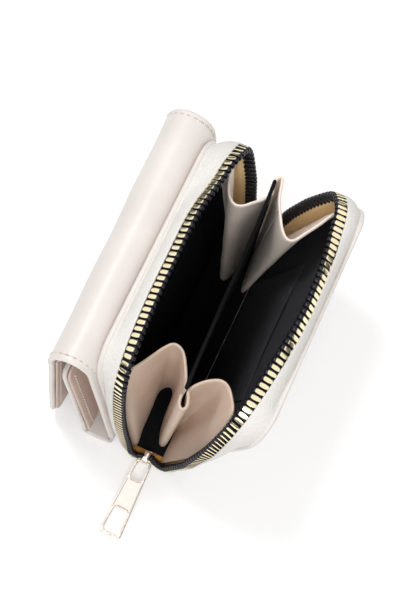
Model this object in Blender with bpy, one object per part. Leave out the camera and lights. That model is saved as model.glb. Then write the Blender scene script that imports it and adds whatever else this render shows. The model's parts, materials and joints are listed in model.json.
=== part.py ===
"""Zip card holder: a coin compartment that opens on a three-sided zip, with a trifold card
section on its left face. It stands open on its floor strip. The frame has +Z up and +Y along
the mouth, away from the slider. The origin is on the underside of the floor strip, at its
middle. Lengths are in metres."""

import math

import bmesh
import bpy
from mathutils import Vector

MM = 0.001
GAP = 0.3 * MM

# Coin compartment
COMPARTMENT_LENGTH = 112.0 * MM
WALL_HEIGHT = 86.6 * MM
FLOOR_WIDTH = 26.4 * MM
CORNER_RADIUS = 14.0 * MM
SHELL_THICKNESS = 1.8 * MM
LINING_THICKNESS = 0.6 * MM
LINING_EDGE_INSET = 4.3 * MM
FLOOR_THICKNESS = 1.8 * MM
LEFT_LEAN = math.radians(-3.55)
RIGHT_LEAN = math.radians(27.3)

# Zip, measured across the strip from the seam towards the mouth
BAND_WIDTH = 6.6 * MM
BAND_THICKNESS = 1.4 * MM
BAND_FOOT = 4.0 * MM
BAND_LIP = 0.4 * MM
BACKING_WIDTH = 5.6 * MM
BACKING_THICKNESS = 0.7 * MM
TAPE_OVERLAP = 3.0 * MM
TAPE_WIDTH = 5.6 * MM
TAPE_THICKNESS = 0.7 * MM
TAPE_FOOT = 9.0 * MM
TOOTH_PITCH = 2.77 * MM
TOOTH_WIDTH = 1.25 * MM
TOOTH_DEPTH = 1.5 * MM
TOOTH_PAST_TAPE = 1.0 * MM
CORD_WIDTH = 1.4 * MM
STOP_LENGTH = 2.6 * MM

# Slider and pull
SLIDER_OFFSET = 2.6 * MM
SLIDER_WIDTH = 8.0 * MM
SLIDER_HEIGHT = 7.4 * MM
SLIDER_DEPTH = 4.6 * MM
SLIDER_PLATE = 1.1 * MM
SLIDER_WEB = 1.6 * MM
SLIDER_FLOOR_CLEARANCE = 0.6 * MM
BRIDGE_WIDTH = 2.2 * MM
BRIDGE_REACH = 2.6 * MM
BRIDGE_BAR = 0.8 * MM
BRIDGE_HEIGHT = 4.6 * MM
PULL_LENGTH = 35.0 * MM
PULL_TOP_WIDTH = 7.2 * MM
PULL_END_WIDTH = 10.0 * MM
PULL_THICKNESS = 1.2 * MM
PULL_RIM = 1.3 * MM
PULL_BAR = 1.0 * MM
PULL_SLOT_LENGTH = 7.6 * MM
PULL_WINDOW_LENGTH = 11.2 * MM
PULL_CORNER = 1.6 * MM

# Gussets and divider
GUSSET_HEIGHT = 76.0 * MM
GUSSET_FOOT = 2.9 * MM
GUSSET_THICKNESS = 0.8 * MM
DIVIDER_FOOT_X = 5.0 * MM
DIVIDER_LEAN = math.radians(7.3)
DIVIDER_THICKNESS = 1.2 * MM
DIVIDER_HEIGHT = 76.5 * MM
DIVIDER_NEAR_Y = -51.0 * MM
DIVIDER_FAR_Y = 48.4 * MM
SLIP_POCKET_HEIGHT = 52.0 * MM
SLIP_POCKET_THICKNESS = 0.5 * MM
SLIP_POCKET_INSET = 26.0 * MM

# Trifold card section
TRIFOLD_LENGTH = 118.0 * MM
TRIFOLD_SHIFT = 0.6 * MM
COVER_THICKNESS = 2.2 * MM
SPINE_RADIUS = 9.6 * MM
SPINE_BASE_HEIGHT = 77.0 * MM
SPINE_LINING_THICKNESS = 0.6 * MM
BACK_COVER_FOOT = 4.8 * MM
CARD_PANEL_THICKNESS = 1.0 * MM
CARD_PANEL_END_INSET = 1.6 * MM
CARD_SLOT_THICKNESS = 0.5 * MM
CARD_SLOT_STEP = 13.0 * MM
CARD_SLOT_COUNT = 2
CARD_SLOT_TOP_HEIGHT = 60.0 * MM
CARD_PANEL_FOOT = 1.2 * MM
FLAP_HEIGHT = 75.3 * MM
FLAP_CORNER_RADIUS = 11.0 * MM
FLAP_LEAN = math.radians(3.5)
LEAF_HEIGHT = 67.5 * MM
LEAF_COVER_THICKNESS = 1.8 * MM
LEAF_LEAN = math.radians(-4.3)
LEAF_CORNER_RADIUS = 3.0 * MM
FOLD_THICKNESS = 2.0 * MM
FOLD_DEPTH = 3.0 * MM
FOLD_WIDTH = 11.75 * MM

# Tilt of each zip band out of square with its wall, in degrees, along its run
LEFT_TILT_SHARES = ((0.0, 50), (0.1, 62), (0.29, 28), (0.47, 50), (0.7, 4), (0.8, 0), (1.0, 0))
RIGHT_TILT_SHARES = ((0.0, 72), (0.1, 76), (0.29, 18), (0.49, 72), (0.58, 66), (0.72, 8),
                     (0.8, 0), (1.0, 0))

# Plan of each gusset. The first value is a share of half the mouth's width there, the second
# a share of the deepest fold's reach into the compartment.
NEAR_RIM_SHARES = ((-0.757, 0.2), (-0.63, 0.51), (-0.47, 0.82), (-0.36, 0.92), (-0.22, 0.86),
                   (-0.13, 0.7), (-0.06, 0.47), (-0.05, 0.3), (-0.05, 0.16), (0.0, 0.09),
                   (0.045, 0.16), (0.045, 0.34), (0.13, 0.52), (0.29, 0.66), (0.43, 0.68),
                   (0.58, 0.5), (0.71, 0.2))
NEAR_FOOT_SHARES = ((-0.62, 0.06), (-0.58, 0.45), (-0.54, 0.85), (-0.46, 1.0), (-0.35, 1.0),
                    (-0.26, 0.82), (-0.16, 0.5), (-0.12, 0.3), (-0.11, 0.18), (0.0, 0.1),
                    (0.26, 0.18), (0.3, 0.4), (0.42, 0.66), (0.56, 0.84), (0.74, 0.84),
                    (0.9, 0.55), (0.94, 0.1))
FAR_RIM_SHARES = ((-0.764, 0.33), (-0.7, 0.52), (-0.62, 0.69), (-0.49, 0.85), (-0.337, 0.85),
                  (-0.17, 0.69), (-0.06, 0.52), (-0.05, 0.4), (-0.05, 0.27), (0.0, 0.2),
                  (0.045, 0.27), (0.05, 0.46), (0.14, 0.67), (0.28, 0.9), (0.42, 1.02),
                  (0.6, 0.88), (0.835, 0.35))
FAR_FOOT_SHARES = ((-0.7, 0.2), (-0.64, 0.5), (-0.56, 0.78), (-0.46, 0.94), (-0.34, 0.94),
                   (-0.24, 0.76), (-0.15, 0.56), (-0.12, 0.42), (-0.11, 0.28), (0.0, 0.2),
                   (0.26, 0.28), (0.3, 0.46), (0.42, 0.78), (0.58, 1.04), (0.76, 1.06),
                   (0.9, 0.75), (0.94, 0.25))
GUSSET_REACH = 27.0 * MM

# Steps of the curved forms
ARC_STEPS = 8
RUN_STEPS = 16
SPINE_STEPS = 20
FOLD_STEPS = 15
GUSSET_STEPS = 8

# Places and sizes that follow from the values above
BAND_INSET = BAND_LIP + BAND_THICKNESS / 2
SEAM_OFFSET = SHELL_THICKNESS + GAP + BAND_THICKNESS / 2
TAPE_TOP = -(BAND_THICKNESS / 2 + GAP)
BACKING_TOP = TAPE_TOP - TAPE_THICKNESS - GAP
TAPE_START = BAND_WIDTH - TAPE_OVERLAP
TOOTH_START = BAND_WIDTH + GAP
TOOTH_END = TAPE_START + TAPE_WIDTH + TOOTH_PAST_TAPE
CORD_START = (TOOTH_START + TOOTH_END - CORD_WIDTH) / 2
LINING_FOOT = FLOOR_THICKNESS + 2 * GAP + LINING_THICKNESS
PULL_DROP = math.asin((SLIDER_FLOOR_CLEARANCE + SLIDER_HEIGHT / 2 - PULL_THICKNESS / 2)
                      / (PULL_LENGTH + PULL_RIM))
FOLD_TOP = FOLD_DEPTH + FOLD_THICKNESS / 2
FOLD_RIGHT_X = -(FLOOR_WIDTH / 2 + GAP + COVER_THICKNESS / 2) + math.tan(LEFT_LEAN) * FOLD_TOP
LEAF_FOOT_X = FOLD_RIGHT_X - FOLD_WIDTH

LEFT = -1
RIGHT = 1
NEAR = -1
FAR = 1

LEATHER = ("leather", (0.86, 0.80, 0.75), 0.5, 0.0)
BAND_LEATHER = ("band_leather", (0.88, 0.85, 0.80), 0.55, 0.0)
GUSSET_LEATHER = ("gusset_leather", (0.72, 0.62, 0.55), 0.55, 0.0)
BLACK_CLOTH = ("black_cloth", (0.02, 0.02, 0.022), 0.85, 0.0)
TAN_CLOTH = ("tan_cloth", (0.75, 0.50, 0.25), 0.7, 0.0)
TAPE_CLOTH = ("zip_tape", (0.015, 0.015, 0.018), 0.8, 0.0)
GOLD = ("gold", (0.83, 0.66, 0.44), 0.22, 1.0)


def clear_scene():
    for item in list(bpy.data.objects):
        bpy.data.objects.remove(item, do_unlink=True)


def material(node, finish):
    label, colour, roughness, metallic = finish
    surface = bpy.data.materials.new(node + "_" + label)
    surface.use_nodes = True
    shader = surface.node_tree.nodes["Principled BSDF"]
    shader.inputs["Base Color"].default_value = (*colour, 1.0)
    shader.inputs["Roughness"].default_value = roughness
    shader.inputs["Metallic"].default_value = metallic
    surface.diffuse_color = (*colour, 1.0)
    return surface


def empty(name, location, lean=0.0, parent=None):
    """An axis along Y: lean turns +Z towards +X."""
    holder = bpy.data.objects.new(name, None)
    bpy.context.collection.objects.link(holder)
    holder.parent = parent
    holder.location = location
    holder.rotation_euler = (0.0, lean, 0.0)
    return holder


def mesh_object(name, bm, finish, parent):
    bmesh.ops.recalc_face_normals(bm, faces=bm.faces)
    mesh = bpy.data.meshes.new(name)
    bm.to_mesh(mesh)
    bm.free()
    mesh.shade_smooth()
    mesh.set_sharp_from_angle(angle=math.radians(35))
    mesh.materials.append(material(name, finish))
    piece = bpy.data.objects.new(name, mesh)
    bpy.context.collection.objects.link(piece)
    piece.parent = parent
    return piece


def add_rings(bm, rings, twisted=False):
    """Join rings of equal length into one closed tube with flat ends.

    A twisted strip's rings have four corners, and its two wide sides are cut into triangles
    the same way, so that strips that lie on each other stay apart.
    """
    loops = [[bm.verts.new(point) for point in ring] for ring in rings]
    count = len(loops[0])
    for first, second in zip(loops, loops[1:]):
        for k in range(count):
            after = (k + 1) % count
            if twisted and k == 0:
                bm.faces.new((first[k], first[after], second[after]))
                bm.faces.new((first[k], second[after], second[k]))
            elif twisted and k == 2:
                bm.faces.new((first[k], first[after], second[k]))
                bm.faces.new((first[after], second[after], second[k]))
            else:
                bm.faces.new((first[k], first[after], second[after], second[k]))
    bm.faces.new(list(reversed(loops[0])))
    bm.faces.new(loops[-1])


def plate(name, outline, thickness, finish, parent, x=0.0):
    """A flat sheet: outline is in Y and Z, and x is its lower face."""
    bm = bmesh.new()
    add_rings(bm, [[(x, y, z) for y, z in outline],
                   [(x + thickness, y, z) for y, z in outline]])
    return mesh_object(name, bm, finish, parent)


def ribbon(name, line, thickness, near_y, far_y, finish, parent):
    """A sheet that follows a line in X and Z, run along Y."""
    left, right = offset_sides(line, thickness)
    outline = left + list(reversed(right))
    bm = bmesh.new()
    add_rings(bm, [[(x, near_y, z) for x, z in outline], [(x, far_y, z) for x, z in outline]])
    return mesh_object(name, bm, finish, parent)


def offset_sides(line, thickness):
    """Both sides of a flat line of points, half a thickness away."""
    left, right = [], []
    for k, point in enumerate(line):
        before = line[max(k - 1, 0)]
        after = line[min(k + 1, len(line) - 1)]
        run = Vector((after[0] - before[0], after[1] - before[1])).normalized()
        across = Vector((-run.y, run.x)) * (thickness / 2)
        left.append((point[0] + across.x, point[1] + across.y))
        right.append((point[0] - across.x, point[1] - across.y))
    return left, right


def arc(centre, radius, start, end, steps):
    """Points on an arc, with angles in degrees."""
    points = []
    for k in range(steps + 1):
        angle = math.radians(start + (end - start) * k / steps)
        points.append((centre[0] + radius * math.cos(angle), centre[1] + radius * math.sin(angle)))
    return points


def rounded_panel(half_length, bottom, top, bottom_radius, top_radius, shift=0.0):
    """Outline in Y and Z of a panel, with its own radius at the bottom and the top corners."""
    outline = []
    corners = ((1, bottom, bottom_radius, 1, -90), (1, top, top_radius, -1, 0),
               (-1, top, top_radius, -1, 90), (-1, bottom, bottom_radius, 1, 180))
    for side, height, radius, inward, start in corners:
        centre = (shift + side * (half_length - radius), height + inward * radius)
        if radius > 0.0:
            outline += arc(centre, radius, start, start + 90, ARC_STEPS)
        else:
            outline.append(centre)
    return outline


def tilt_at(keys, share):
    """Tilt in radians at a share of the run, eased between its keys."""
    for (low, low_tilt), (high, high_tilt) in zip(keys, keys[1:]):
        if share <= high:
            part = (share - low) / (high - low)
            eased = part * part * (3 - 2 * part)
            return math.radians(low_tilt + (high_tilt - low_tilt) * eased)
    return math.radians(keys[-1][1])


def rail_lengths():
    """Lengths of the zip's run: an end, a corner, the top and the whole of it."""
    side = WALL_HEIGHT - CORNER_RADIUS - BAND_FOOT
    bend = math.pi / 2 * (CORNER_RADIUS - BAND_INSET)
    top = COMPARTMENT_LENGTH - 2 * CORNER_RADIUS
    return side, bend, top, 2 * side + 2 * bend + top


def rail_point(distance):
    """Place on the run: (y, z), the outward direction (y, z) and the share of the run."""
    side, bend, top, total = rail_lengths()
    radius = CORNER_RADIUS - BAND_INSET
    half = COMPARTMENT_LENGTH / 2
    high = WALL_HEIGHT - CORNER_RADIUS
    share = distance / total
    if distance <= side:
        return (-half + BAND_INSET, BAND_FOOT + distance), (-1.0, 0.0), share
    distance -= side
    if distance <= bend:
        turn = distance / radius
        out = (-math.cos(turn), math.sin(turn))
        return (-half + CORNER_RADIUS + radius * out[0], high + radius * out[1]), out, share
    distance -= bend
    if distance <= top:
        return (-half + CORNER_RADIUS + distance, WALL_HEIGHT - BAND_INSET), (0.0, 1.0), share
    distance -= top
    if distance <= bend:
        turn = distance / radius
        out = (math.sin(turn), math.cos(turn))
        return (half - CORNER_RADIUS + radius * out[0], high + radius * out[1]), out, share
    distance -= bend
    return (half - BAND_INSET, high - distance), (1.0, 0.0), share


def rail_stations(foot):
    """Distances of the sections along the run. All strips share those above the tape's foot."""
    side, bend, top, total = rail_lengths()
    lift = TAPE_FOOT - BAND_FOOT
    marks = [lift + (side - lift) * k / RUN_STEPS for k in range(RUN_STEPS)]
    marks += [side + bend * k / ARC_STEPS for k in range(ARC_STEPS)]
    marks += [side + bend + top * k / RUN_STEPS for k in range(RUN_STEPS)]
    marks += [side + bend + top + bend * k / ARC_STEPS for k in range(ARC_STEPS)]
    marks += [total - side + (side - lift) * k / RUN_STEPS for k in range(RUN_STEPS + 1)]
    if foot < TAPE_FOOT:
        marks = [foot - BAND_FOOT] + marks + [total - (foot - BAND_FOOT)]
    return marks


def zip_point(hand, distance, across, out_depth):
    """A point of the zip on one wall: across runs from the seam, out_depth towards outside."""
    keys = LEFT_TILT_SHARES if hand == LEFT else RIGHT_TILT_SHARES
    (y, z), (out_y, out_z), share = rail_point(distance)
    tilt = tilt_at(keys, share)
    inward = SEAM_OFFSET + across * math.cos(tilt) - out_depth * math.sin(tilt)
    outward = across * math.sin(tilt) + out_depth * math.cos(tilt)
    return Vector((-hand * inward, y + outward * out_y, z + outward * out_z))


def strip(name, hand, foot, reach, depth, finish, parent):
    """A flat strip of the zip, swept round three sides of a wall."""
    corners = ((reach[0], depth[0]), (reach[1], depth[0]), (reach[1], depth[1]),
               (reach[0], depth[1]))
    rings = [[zip_point(hand, mark, across, out) for across, out in corners]
             for mark in rail_stations(foot)]
    bm = bmesh.new()
    add_rings(bm, rings, twisted=True)
    return mesh_object(name, bm, finish, parent)


def zip_teeth(name, hand, parent):
    """One row of teeth on the cord at the tape's edge, as a comb."""
    total = rail_lengths()[-1]
    start = TAPE_FOOT - BAND_FOOT + STOP_LENGTH + TOOTH_PITCH
    if hand == RIGHT:
        start += TOOTH_PITCH / 2
    count = int((total - 2 * start) / TOOTH_PITCH) + 1
    tooth = block_corners(TOOTH_START, TOOTH_END)
    cord = block_corners(CORD_START, CORD_START + CORD_WIDTH)
    rings = []
    for k in range(count):
        middle = start + k * TOOTH_PITCH
        for distance in (middle - TOOTH_WIDTH / 2, middle + TOOTH_WIDTH / 2):
            rings.append([zip_point(hand, distance, across, out) for across, out in tooth])
        if k < count - 1:
            between = middle + TOOTH_PITCH / 2
            rings.append([zip_point(hand, between, across, out) for across, out in cord])
    bm = bmesh.new()
    add_rings(bm, rings)
    return mesh_object(name, bm, GOLD, parent)


def block_corners(start, end):
    """Section of a piece clamped on the outer face of the tape."""
    low = TAPE_TOP + GAP
    high = low + TOOTH_DEPTH
    return ((start, low), (end, low), (end, high), (start, high))


def zip_stop(name, hand, distance, parent):
    """A metal stop at one end of a row of teeth."""
    corners = block_corners(TOOTH_START, TOOTH_END)
    rings = [[zip_point(hand, distance + shift, across, out) for across, out in corners]
             for shift in (-STOP_LENGTH / 2, STOP_LENGTH / 2)]
    bm = bmesh.new()
    add_rings(bm, rings)
    return mesh_object(name, bm, GOLD, parent)


def compartment_half(label, hand, axis):
    """One wall with its lining, its zip band and the zip's tape, teeth and stops."""
    half = COMPARTMENT_LENGTH / 2
    wall = rounded_panel(half, GAP + FLOOR_THICKNESS, WALL_HEIGHT, 0.0, CORNER_RADIUS)
    shell_x = -SHELL_THICKNESS if hand == RIGHT else 0.0
    plate(label + "_shell", wall, SHELL_THICKNESS, LEATHER, axis, shell_x)
    lining = rounded_panel(half - LINING_EDGE_INSET, LINING_FOOT, WALL_HEIGHT - LINING_EDGE_INSET,
                           0.0, CORNER_RADIUS - LINING_EDGE_INSET)
    lining_start = SHELL_THICKNESS + GAP
    lining_x = -(lining_start + LINING_THICKNESS) if hand == RIGHT else lining_start
    plate(label + "_lining", lining, LINING_THICKNESS, BLACK_CLOTH, axis, lining_x)
    strip(label + "_zip_band", hand, BAND_FOOT, (0.0, BAND_WIDTH),
          (-BAND_THICKNESS / 2, BAND_THICKNESS / 2), BAND_LEATHER, axis)
    strip(label + "_band_backing", hand, BAND_FOOT, (GAP, BACKING_WIDTH),
          (BACKING_TOP - BACKING_THICKNESS, BACKING_TOP), TAN_CLOTH, axis)
    strip(label + "_zip_tape", hand, TAPE_FOOT, (TAPE_START, TAPE_START + TAPE_WIDTH),
          (TAPE_TOP - TAPE_THICKNESS, TAPE_TOP), TAPE_CLOTH, axis)
    zip_teeth(label + "_zip_teeth", hand, axis)
    from_end = TAPE_FOOT - BAND_FOOT + STOP_LENGTH / 2
    zip_stop(label + "_near_stop", hand, from_end, axis)
    zip_stop(label + "_far_stop", hand, rail_lengths()[-1] - from_end, axis)


def compartment_floor(base):
    """The leather strip between the walls and the cloth on it."""
    half_width = FLOOR_WIDTH / 2
    half = COMPARTMENT_LENGTH / 2
    bm = bmesh.new()
    section = ((-half_width, 0.0), (half_width, 0.0), (half_width, FLOOR_THICKNESS),
               (-half_width, FLOOR_THICKNESS))
    add_rings(bm, [[(x, -half, z) for x, z in section], [(x, half, z) for x, z in section]])
    mesh_object("floor_strip", bm, LEATHER, base)
    inner = half_width - SHELL_THICKNESS - GAP
    low = FLOOR_THICKNESS + GAP
    section = ((-inner, low), (inner, low), (inner, low + LINING_THICKNESS),
               (-inner, low + LINING_THICKNESS))
    reach = half - LINING_EDGE_INSET
    bm = bmesh.new()
    add_rings(bm, [[(x, -reach, z) for x, z in section], [(x, reach, z) for x, z in section]])
    mesh_object("floor_lining", bm, BLACK_CLOTH, base)


def smooth_line(points, steps):
    """A Catmull-Rom line through points of a plane."""
    line = []
    for k in range(len(points) - 1):
        a = Vector(points[max(k - 1, 0)])
        b = Vector(points[k])
        c = Vector(points[k + 1])
        d = Vector(points[min(k + 2, len(points) - 1)])
        for j in range(steps):
            t = j / steps
            line.append(((b * 2) + (c - a) * t + (a * 2 - b * 5 + c * 4 - d) * t * t
                         + (b * 3 - a - c * 3 + d) * t ** 3) / 2)
    line.append(Vector(points[-1]))
    return line


def gusset_plan(keys, end, height):
    """Line of a gusset at a height: x and y of the fold's middle."""
    lean_left = math.tan(LEFT_LEAN) * height
    lean_right = math.tan(RIGHT_LEAN) * height
    lining = SHELL_THICKNESS + LINING_THICKNESS + 2 * GAP + GUSSET_THICKNESS
    left = -FLOOR_WIDTH / 2 + lean_left + lining
    right = FLOOR_WIDTH / 2 + lean_right - lining
    middle = DIVIDER_FOOT_X + math.tan(DIVIDER_LEAN) * height
    points = []
    for across, depth in keys:
        side = (middle - left) if across < 0 else (right - middle)
        y = end * (COMPARTMENT_LENGTH / 2 - depth * GUSSET_REACH)
        points.append((middle + across * side, y))
    return points


def gusset(name, rim_keys, foot_keys, end, base):
    """A pleated end wall: two folds point into the compartment and one holds the divider."""
    rings = []
    for k in range(GUSSET_STEPS + 1):
        share = k / GUSSET_STEPS
        height = GUSSET_FOOT + (GUSSET_HEIGHT - GUSSET_FOOT) * share
        low = gusset_plan(foot_keys, end, height)
        high = gusset_plan(rim_keys, end, height)
        mixed = [((1 - share) * a[0] + share * b[0], (1 - share) * a[1] + share * b[1])
                 for a, b in zip(low, high)]
        left, right = offset_sides(smooth_line(mixed, 2), GUSSET_THICKNESS)
        rings.append([(x, y, height) for x, y in left + list(reversed(right))])
    bm = bmesh.new()
    add_rings(bm, rings)
    return mesh_object(name, bm, GUSSET_LEATHER, base)


def divider_group(axis, left_axis, right_axis):
    """The middle panel and the slip pockets sewn on the linings."""
    outline = [(DIVIDER_NEAR_Y, 0.0), (DIVIDER_FAR_Y, 0.0), (DIVIDER_FAR_Y, DIVIDER_HEIGHT),
               (DIVIDER_NEAR_Y, DIVIDER_HEIGHT)]
    plate("divider", outline, DIVIDER_THICKNESS, BLACK_CLOTH, axis, -DIVIDER_THICKNESS / 2)
    half = COMPARTMENT_LENGTH / 2 - SLIP_POCKET_INSET
    pocket = rounded_panel(half, LINING_FOOT, SLIP_POCKET_HEIGHT, 0.0, 0.0)
    start = SHELL_THICKNESS + LINING_THICKNESS + 2 * GAP
    plate("left_slip_pocket", pocket, SLIP_POCKET_THICKNESS, BLACK_CLOTH, left_axis, start)
    plate("right_slip_pocket", pocket, SLIP_POCKET_THICKNESS, BLACK_CLOTH, right_axis,
          -start - SLIP_POCKET_THICKNESS)


def slider_body(axis):
    """Two plates joined by a web, with the bridge that carries the pull."""
    half = SLIDER_WIDTH / 2
    web = SLIDER_WEB / 2
    front = -SLIDER_DEPTH
    low_y = front + SLIDER_PLATE
    high_y = -SLIDER_PLATE
    section = ((-half, front), (half, front), (half, low_y), (web, low_y), (web, high_y),
               (half, high_y), (half, 0.0), (-half, 0.0), (-half, high_y), (-web, high_y),
               (-web, low_y), (-half, low_y))
    bm = bmesh.new()
    add_rings(bm, [[(x, y, 0.0) for x, y in section],
                   [(x, y, SLIDER_HEIGHT) for x, y in section]])
    body = mesh_object("slider_body", bm, GOLD, axis)
    reach = front - BRIDGE_REACH
    root = front + SLIDER_PLATE / 2
    low = (SLIDER_HEIGHT - BRIDGE_HEIGHT) / 2
    high = low + BRIDGE_HEIGHT
    outline = ((root, low), (root, low + BRIDGE_BAR), (reach + BRIDGE_BAR, low + BRIDGE_BAR),
               (reach + BRIDGE_BAR, high - BRIDGE_BAR), (root, high - BRIDGE_BAR), (root, high),
               (reach + BRIDGE_BAR, high), (reach, high - BRIDGE_BAR), (reach, low + BRIDGE_BAR),
               (reach + BRIDGE_BAR, low))
    bm = bmesh.new()
    add_rings(bm, [[(-BRIDGE_WIDTH / 2, y, z) for y, z in outline],
                   [(BRIDGE_WIDTH / 2, y, z) for y, z in outline]])
    bridge = mesh_object("bridge_shape", bm, GOLD, axis)
    bridge.hide_render = True
    bridge.display_type = "WIRE"
    union = body.modifiers.new("bridge", "BOOLEAN")
    union.operation = "UNION"
    union.solver = "EXACT"
    union.object = bridge


def rounded_window(near, far, near_half, far_half, radius):
    """Outline in X and Y of a window with four round corners."""
    outline = []
    corners = ((1, near, near_half, 90, -1), (1, far, far_half, 0, 1),
               (-1, far, far_half, -90, 1), (-1, near, near_half, 180, -1))
    for side, y, half, start, inward in corners:
        centre = (side * (half - radius), y + inward * radius)
        outline += arc(centre, radius, start, start - 90, ARC_STEPS // 2)
    return outline


def pull(axis):
    """A flat frame with an upper slot for the bridge and a lower window."""
    top = PULL_BAR / 2
    outer = rounded_window(top, top - PULL_LENGTH, PULL_TOP_WIDTH / 2, PULL_END_WIDTH / 2,
                           PULL_CORNER)
    bm = bmesh.new()
    half = PULL_THICKNESS / 2
    add_rings(bm, [[(x, y, -half) for x, y in outer], [(x, y, half) for x, y in outer]])
    body = mesh_object("zip_pull", bm, GOLD, axis)
    slot_top = top - PULL_BAR
    slot = rounded_window(slot_top, slot_top - PULL_SLOT_LENGTH, PULL_TOP_WIDTH / 2 - PULL_RIM,
                          PULL_TOP_WIDTH / 2 - PULL_RIM, PULL_CORNER)
    window_end = top - PULL_LENGTH + PULL_RIM
    window = rounded_window(window_end + PULL_WINDOW_LENGTH, window_end,
                            PULL_END_WIDTH / 2 - PULL_RIM, PULL_END_WIDTH / 2 - PULL_RIM,
                            PULL_CORNER)
    for label, outline in (("slot", slot), ("window", window)):
        bm = bmesh.new()
        add_rings(bm, [[(x, y, -PULL_THICKNESS) for x, y in outline],
                       [(x, y, PULL_THICKNESS) for x, y in outline]])
        cutter = mesh_object("pull_" + label + "_cutter", bm, GOLD, axis)
        cutter.hide_render = True
        cutter.display_type = "WIRE"
        cut = body.modifiers.new(label, "BOOLEAN")
        cut.operation = "DIFFERENCE"
        cut.solver = "EXACT"
        cut.object = cutter


def card_slots(label, hand, start, half, bottom, top, parent):
    """Stepped card slots on a panel: each lies over the one before and ends lower."""
    for k in range(CARD_SLOT_COUNT):
        outline = rounded_panel(half, bottom, top - k * CARD_SLOT_STEP, 0.0, 0.0, TRIFOLD_SHIFT)
        low = start + k * (CARD_SLOT_THICKNESS + GAP)
        x = low if hand == RIGHT else -low - CARD_SLOT_THICKNESS
        plate(label + "_card_slot_" + str(k + 1), outline, CARD_SLOT_THICKNESS, LEATHER, parent, x)


def trifold_back(axis):
    """The fixed part of the trifold: its spine, the spine's lining and the back card panel."""
    near_y = TRIFOLD_SHIFT - TRIFOLD_LENGTH / 2
    far_y = TRIFOLD_SHIFT + TRIFOLD_LENGTH / 2
    x = -(GAP + COVER_THICKNESS / 2)
    centre = (x - SPINE_RADIUS, SPINE_BASE_HEIGHT)
    arch = arc(centre, SPINE_RADIUS, 0, 180, SPINE_STEPS)
    ribbon("spine_cover", [(x, BACK_COVER_FOOT)] + arch, COVER_THICKNESS, near_y, far_y,
           LEATHER, axis)
    inner = SPINE_RADIUS - COVER_THICKNESS / 2 - GAP - SPINE_LINING_THICKNESS / 2
    ribbon("spine_lining", arc(centre, inner, 12, 168, SPINE_STEPS), SPINE_LINING_THICKNESS,
           near_y + CARD_PANEL_END_INSET, far_y - CARD_PANEL_END_INSET, LEATHER, axis)
    half = TRIFOLD_LENGTH / 2 - CARD_PANEL_END_INSET
    panel_start = 2 * GAP + COVER_THICKNESS
    outline = rounded_panel(half, BACK_COVER_FOOT, SPINE_BASE_HEIGHT, 0.0, 0.0, TRIFOLD_SHIFT)
    plate("back_card_panel", outline, CARD_PANEL_THICKNESS, LEATHER, axis,
          -panel_start - CARD_PANEL_THICKNESS)
    card_slots("back", LEFT, panel_start + CARD_PANEL_THICKNESS + GAP, half, BACK_COVER_FOOT,
               CARD_SLOT_TOP_HEIGHT, axis)


def bottom_fold(base):
    """The fold on the floor that joins the back panel to the middle leaf."""
    centre_x = (FOLD_RIGHT_X + LEAF_FOOT_X) / 2
    line = [(centre_x + FOLD_WIDTH / 2 * math.cos(angle), FOLD_TOP - FOLD_DEPTH * math.sin(angle))
            for angle in [math.pi * k / FOLD_STEPS for k in range(FOLD_STEPS + 1)]]
    near_y = TRIFOLD_SHIFT - TRIFOLD_LENGTH / 2
    far_y = TRIFOLD_SHIFT + TRIFOLD_LENGTH / 2
    ribbon("bottom_fold", line, FOLD_THICKNESS, near_y, far_y, LEATHER, base)


def leaf_group(axis):
    """The middle leaf: its cover on the left and its card slots on the right."""
    half = TRIFOLD_LENGTH / 2
    foot = GAP / 2
    cover = rounded_panel(half, foot, foot + LEAF_HEIGHT, 0.0, LEAF_CORNER_RADIUS, TRIFOLD_SHIFT)
    plate("leaf_cover", cover, LEAF_COVER_THICKNESS, LEATHER, axis, -LEAF_COVER_THICKNESS / 2)
    inner = half - CARD_PANEL_END_INSET
    card_slots("leaf", RIGHT, LEAF_COVER_THICKNESS / 2 + GAP, inner, foot + CARD_PANEL_FOOT,
               CARD_SLOT_TOP_HEIGHT, axis)


def flap_group(axis):
    """The front flap hangs from the spine: its cover outside, its card panel and slots inside."""
    half = TRIFOLD_LENGTH / 2
    cover = rounded_panel(half, -FLAP_HEIGHT, -GAP, FLAP_CORNER_RADIUS, 0.0, TRIFOLD_SHIFT)
    plate("flap_cover", cover, COVER_THICKNESS, LEATHER, axis)
    inset = CARD_PANEL_END_INSET
    panel = rounded_panel(half - inset, inset - FLAP_HEIGHT, -CARD_PANEL_FOOT,
                          FLAP_CORNER_RADIUS - inset, 0.0, TRIFOLD_SHIFT)
    start = COVER_THICKNESS + GAP
    plate("flap_card_panel", panel, CARD_PANEL_THICKNESS, LEATHER, axis, start)
    slot_top = CARD_SLOT_TOP_HEIGHT - SPINE_BASE_HEIGHT
    card_slots("flap", RIGHT, start + CARD_PANEL_THICKNESS + GAP, half - FLAP_CORNER_RADIUS,
               FLAP_CORNER_RADIUS / 2 - FLAP_HEIGHT, slot_top, axis)


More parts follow.
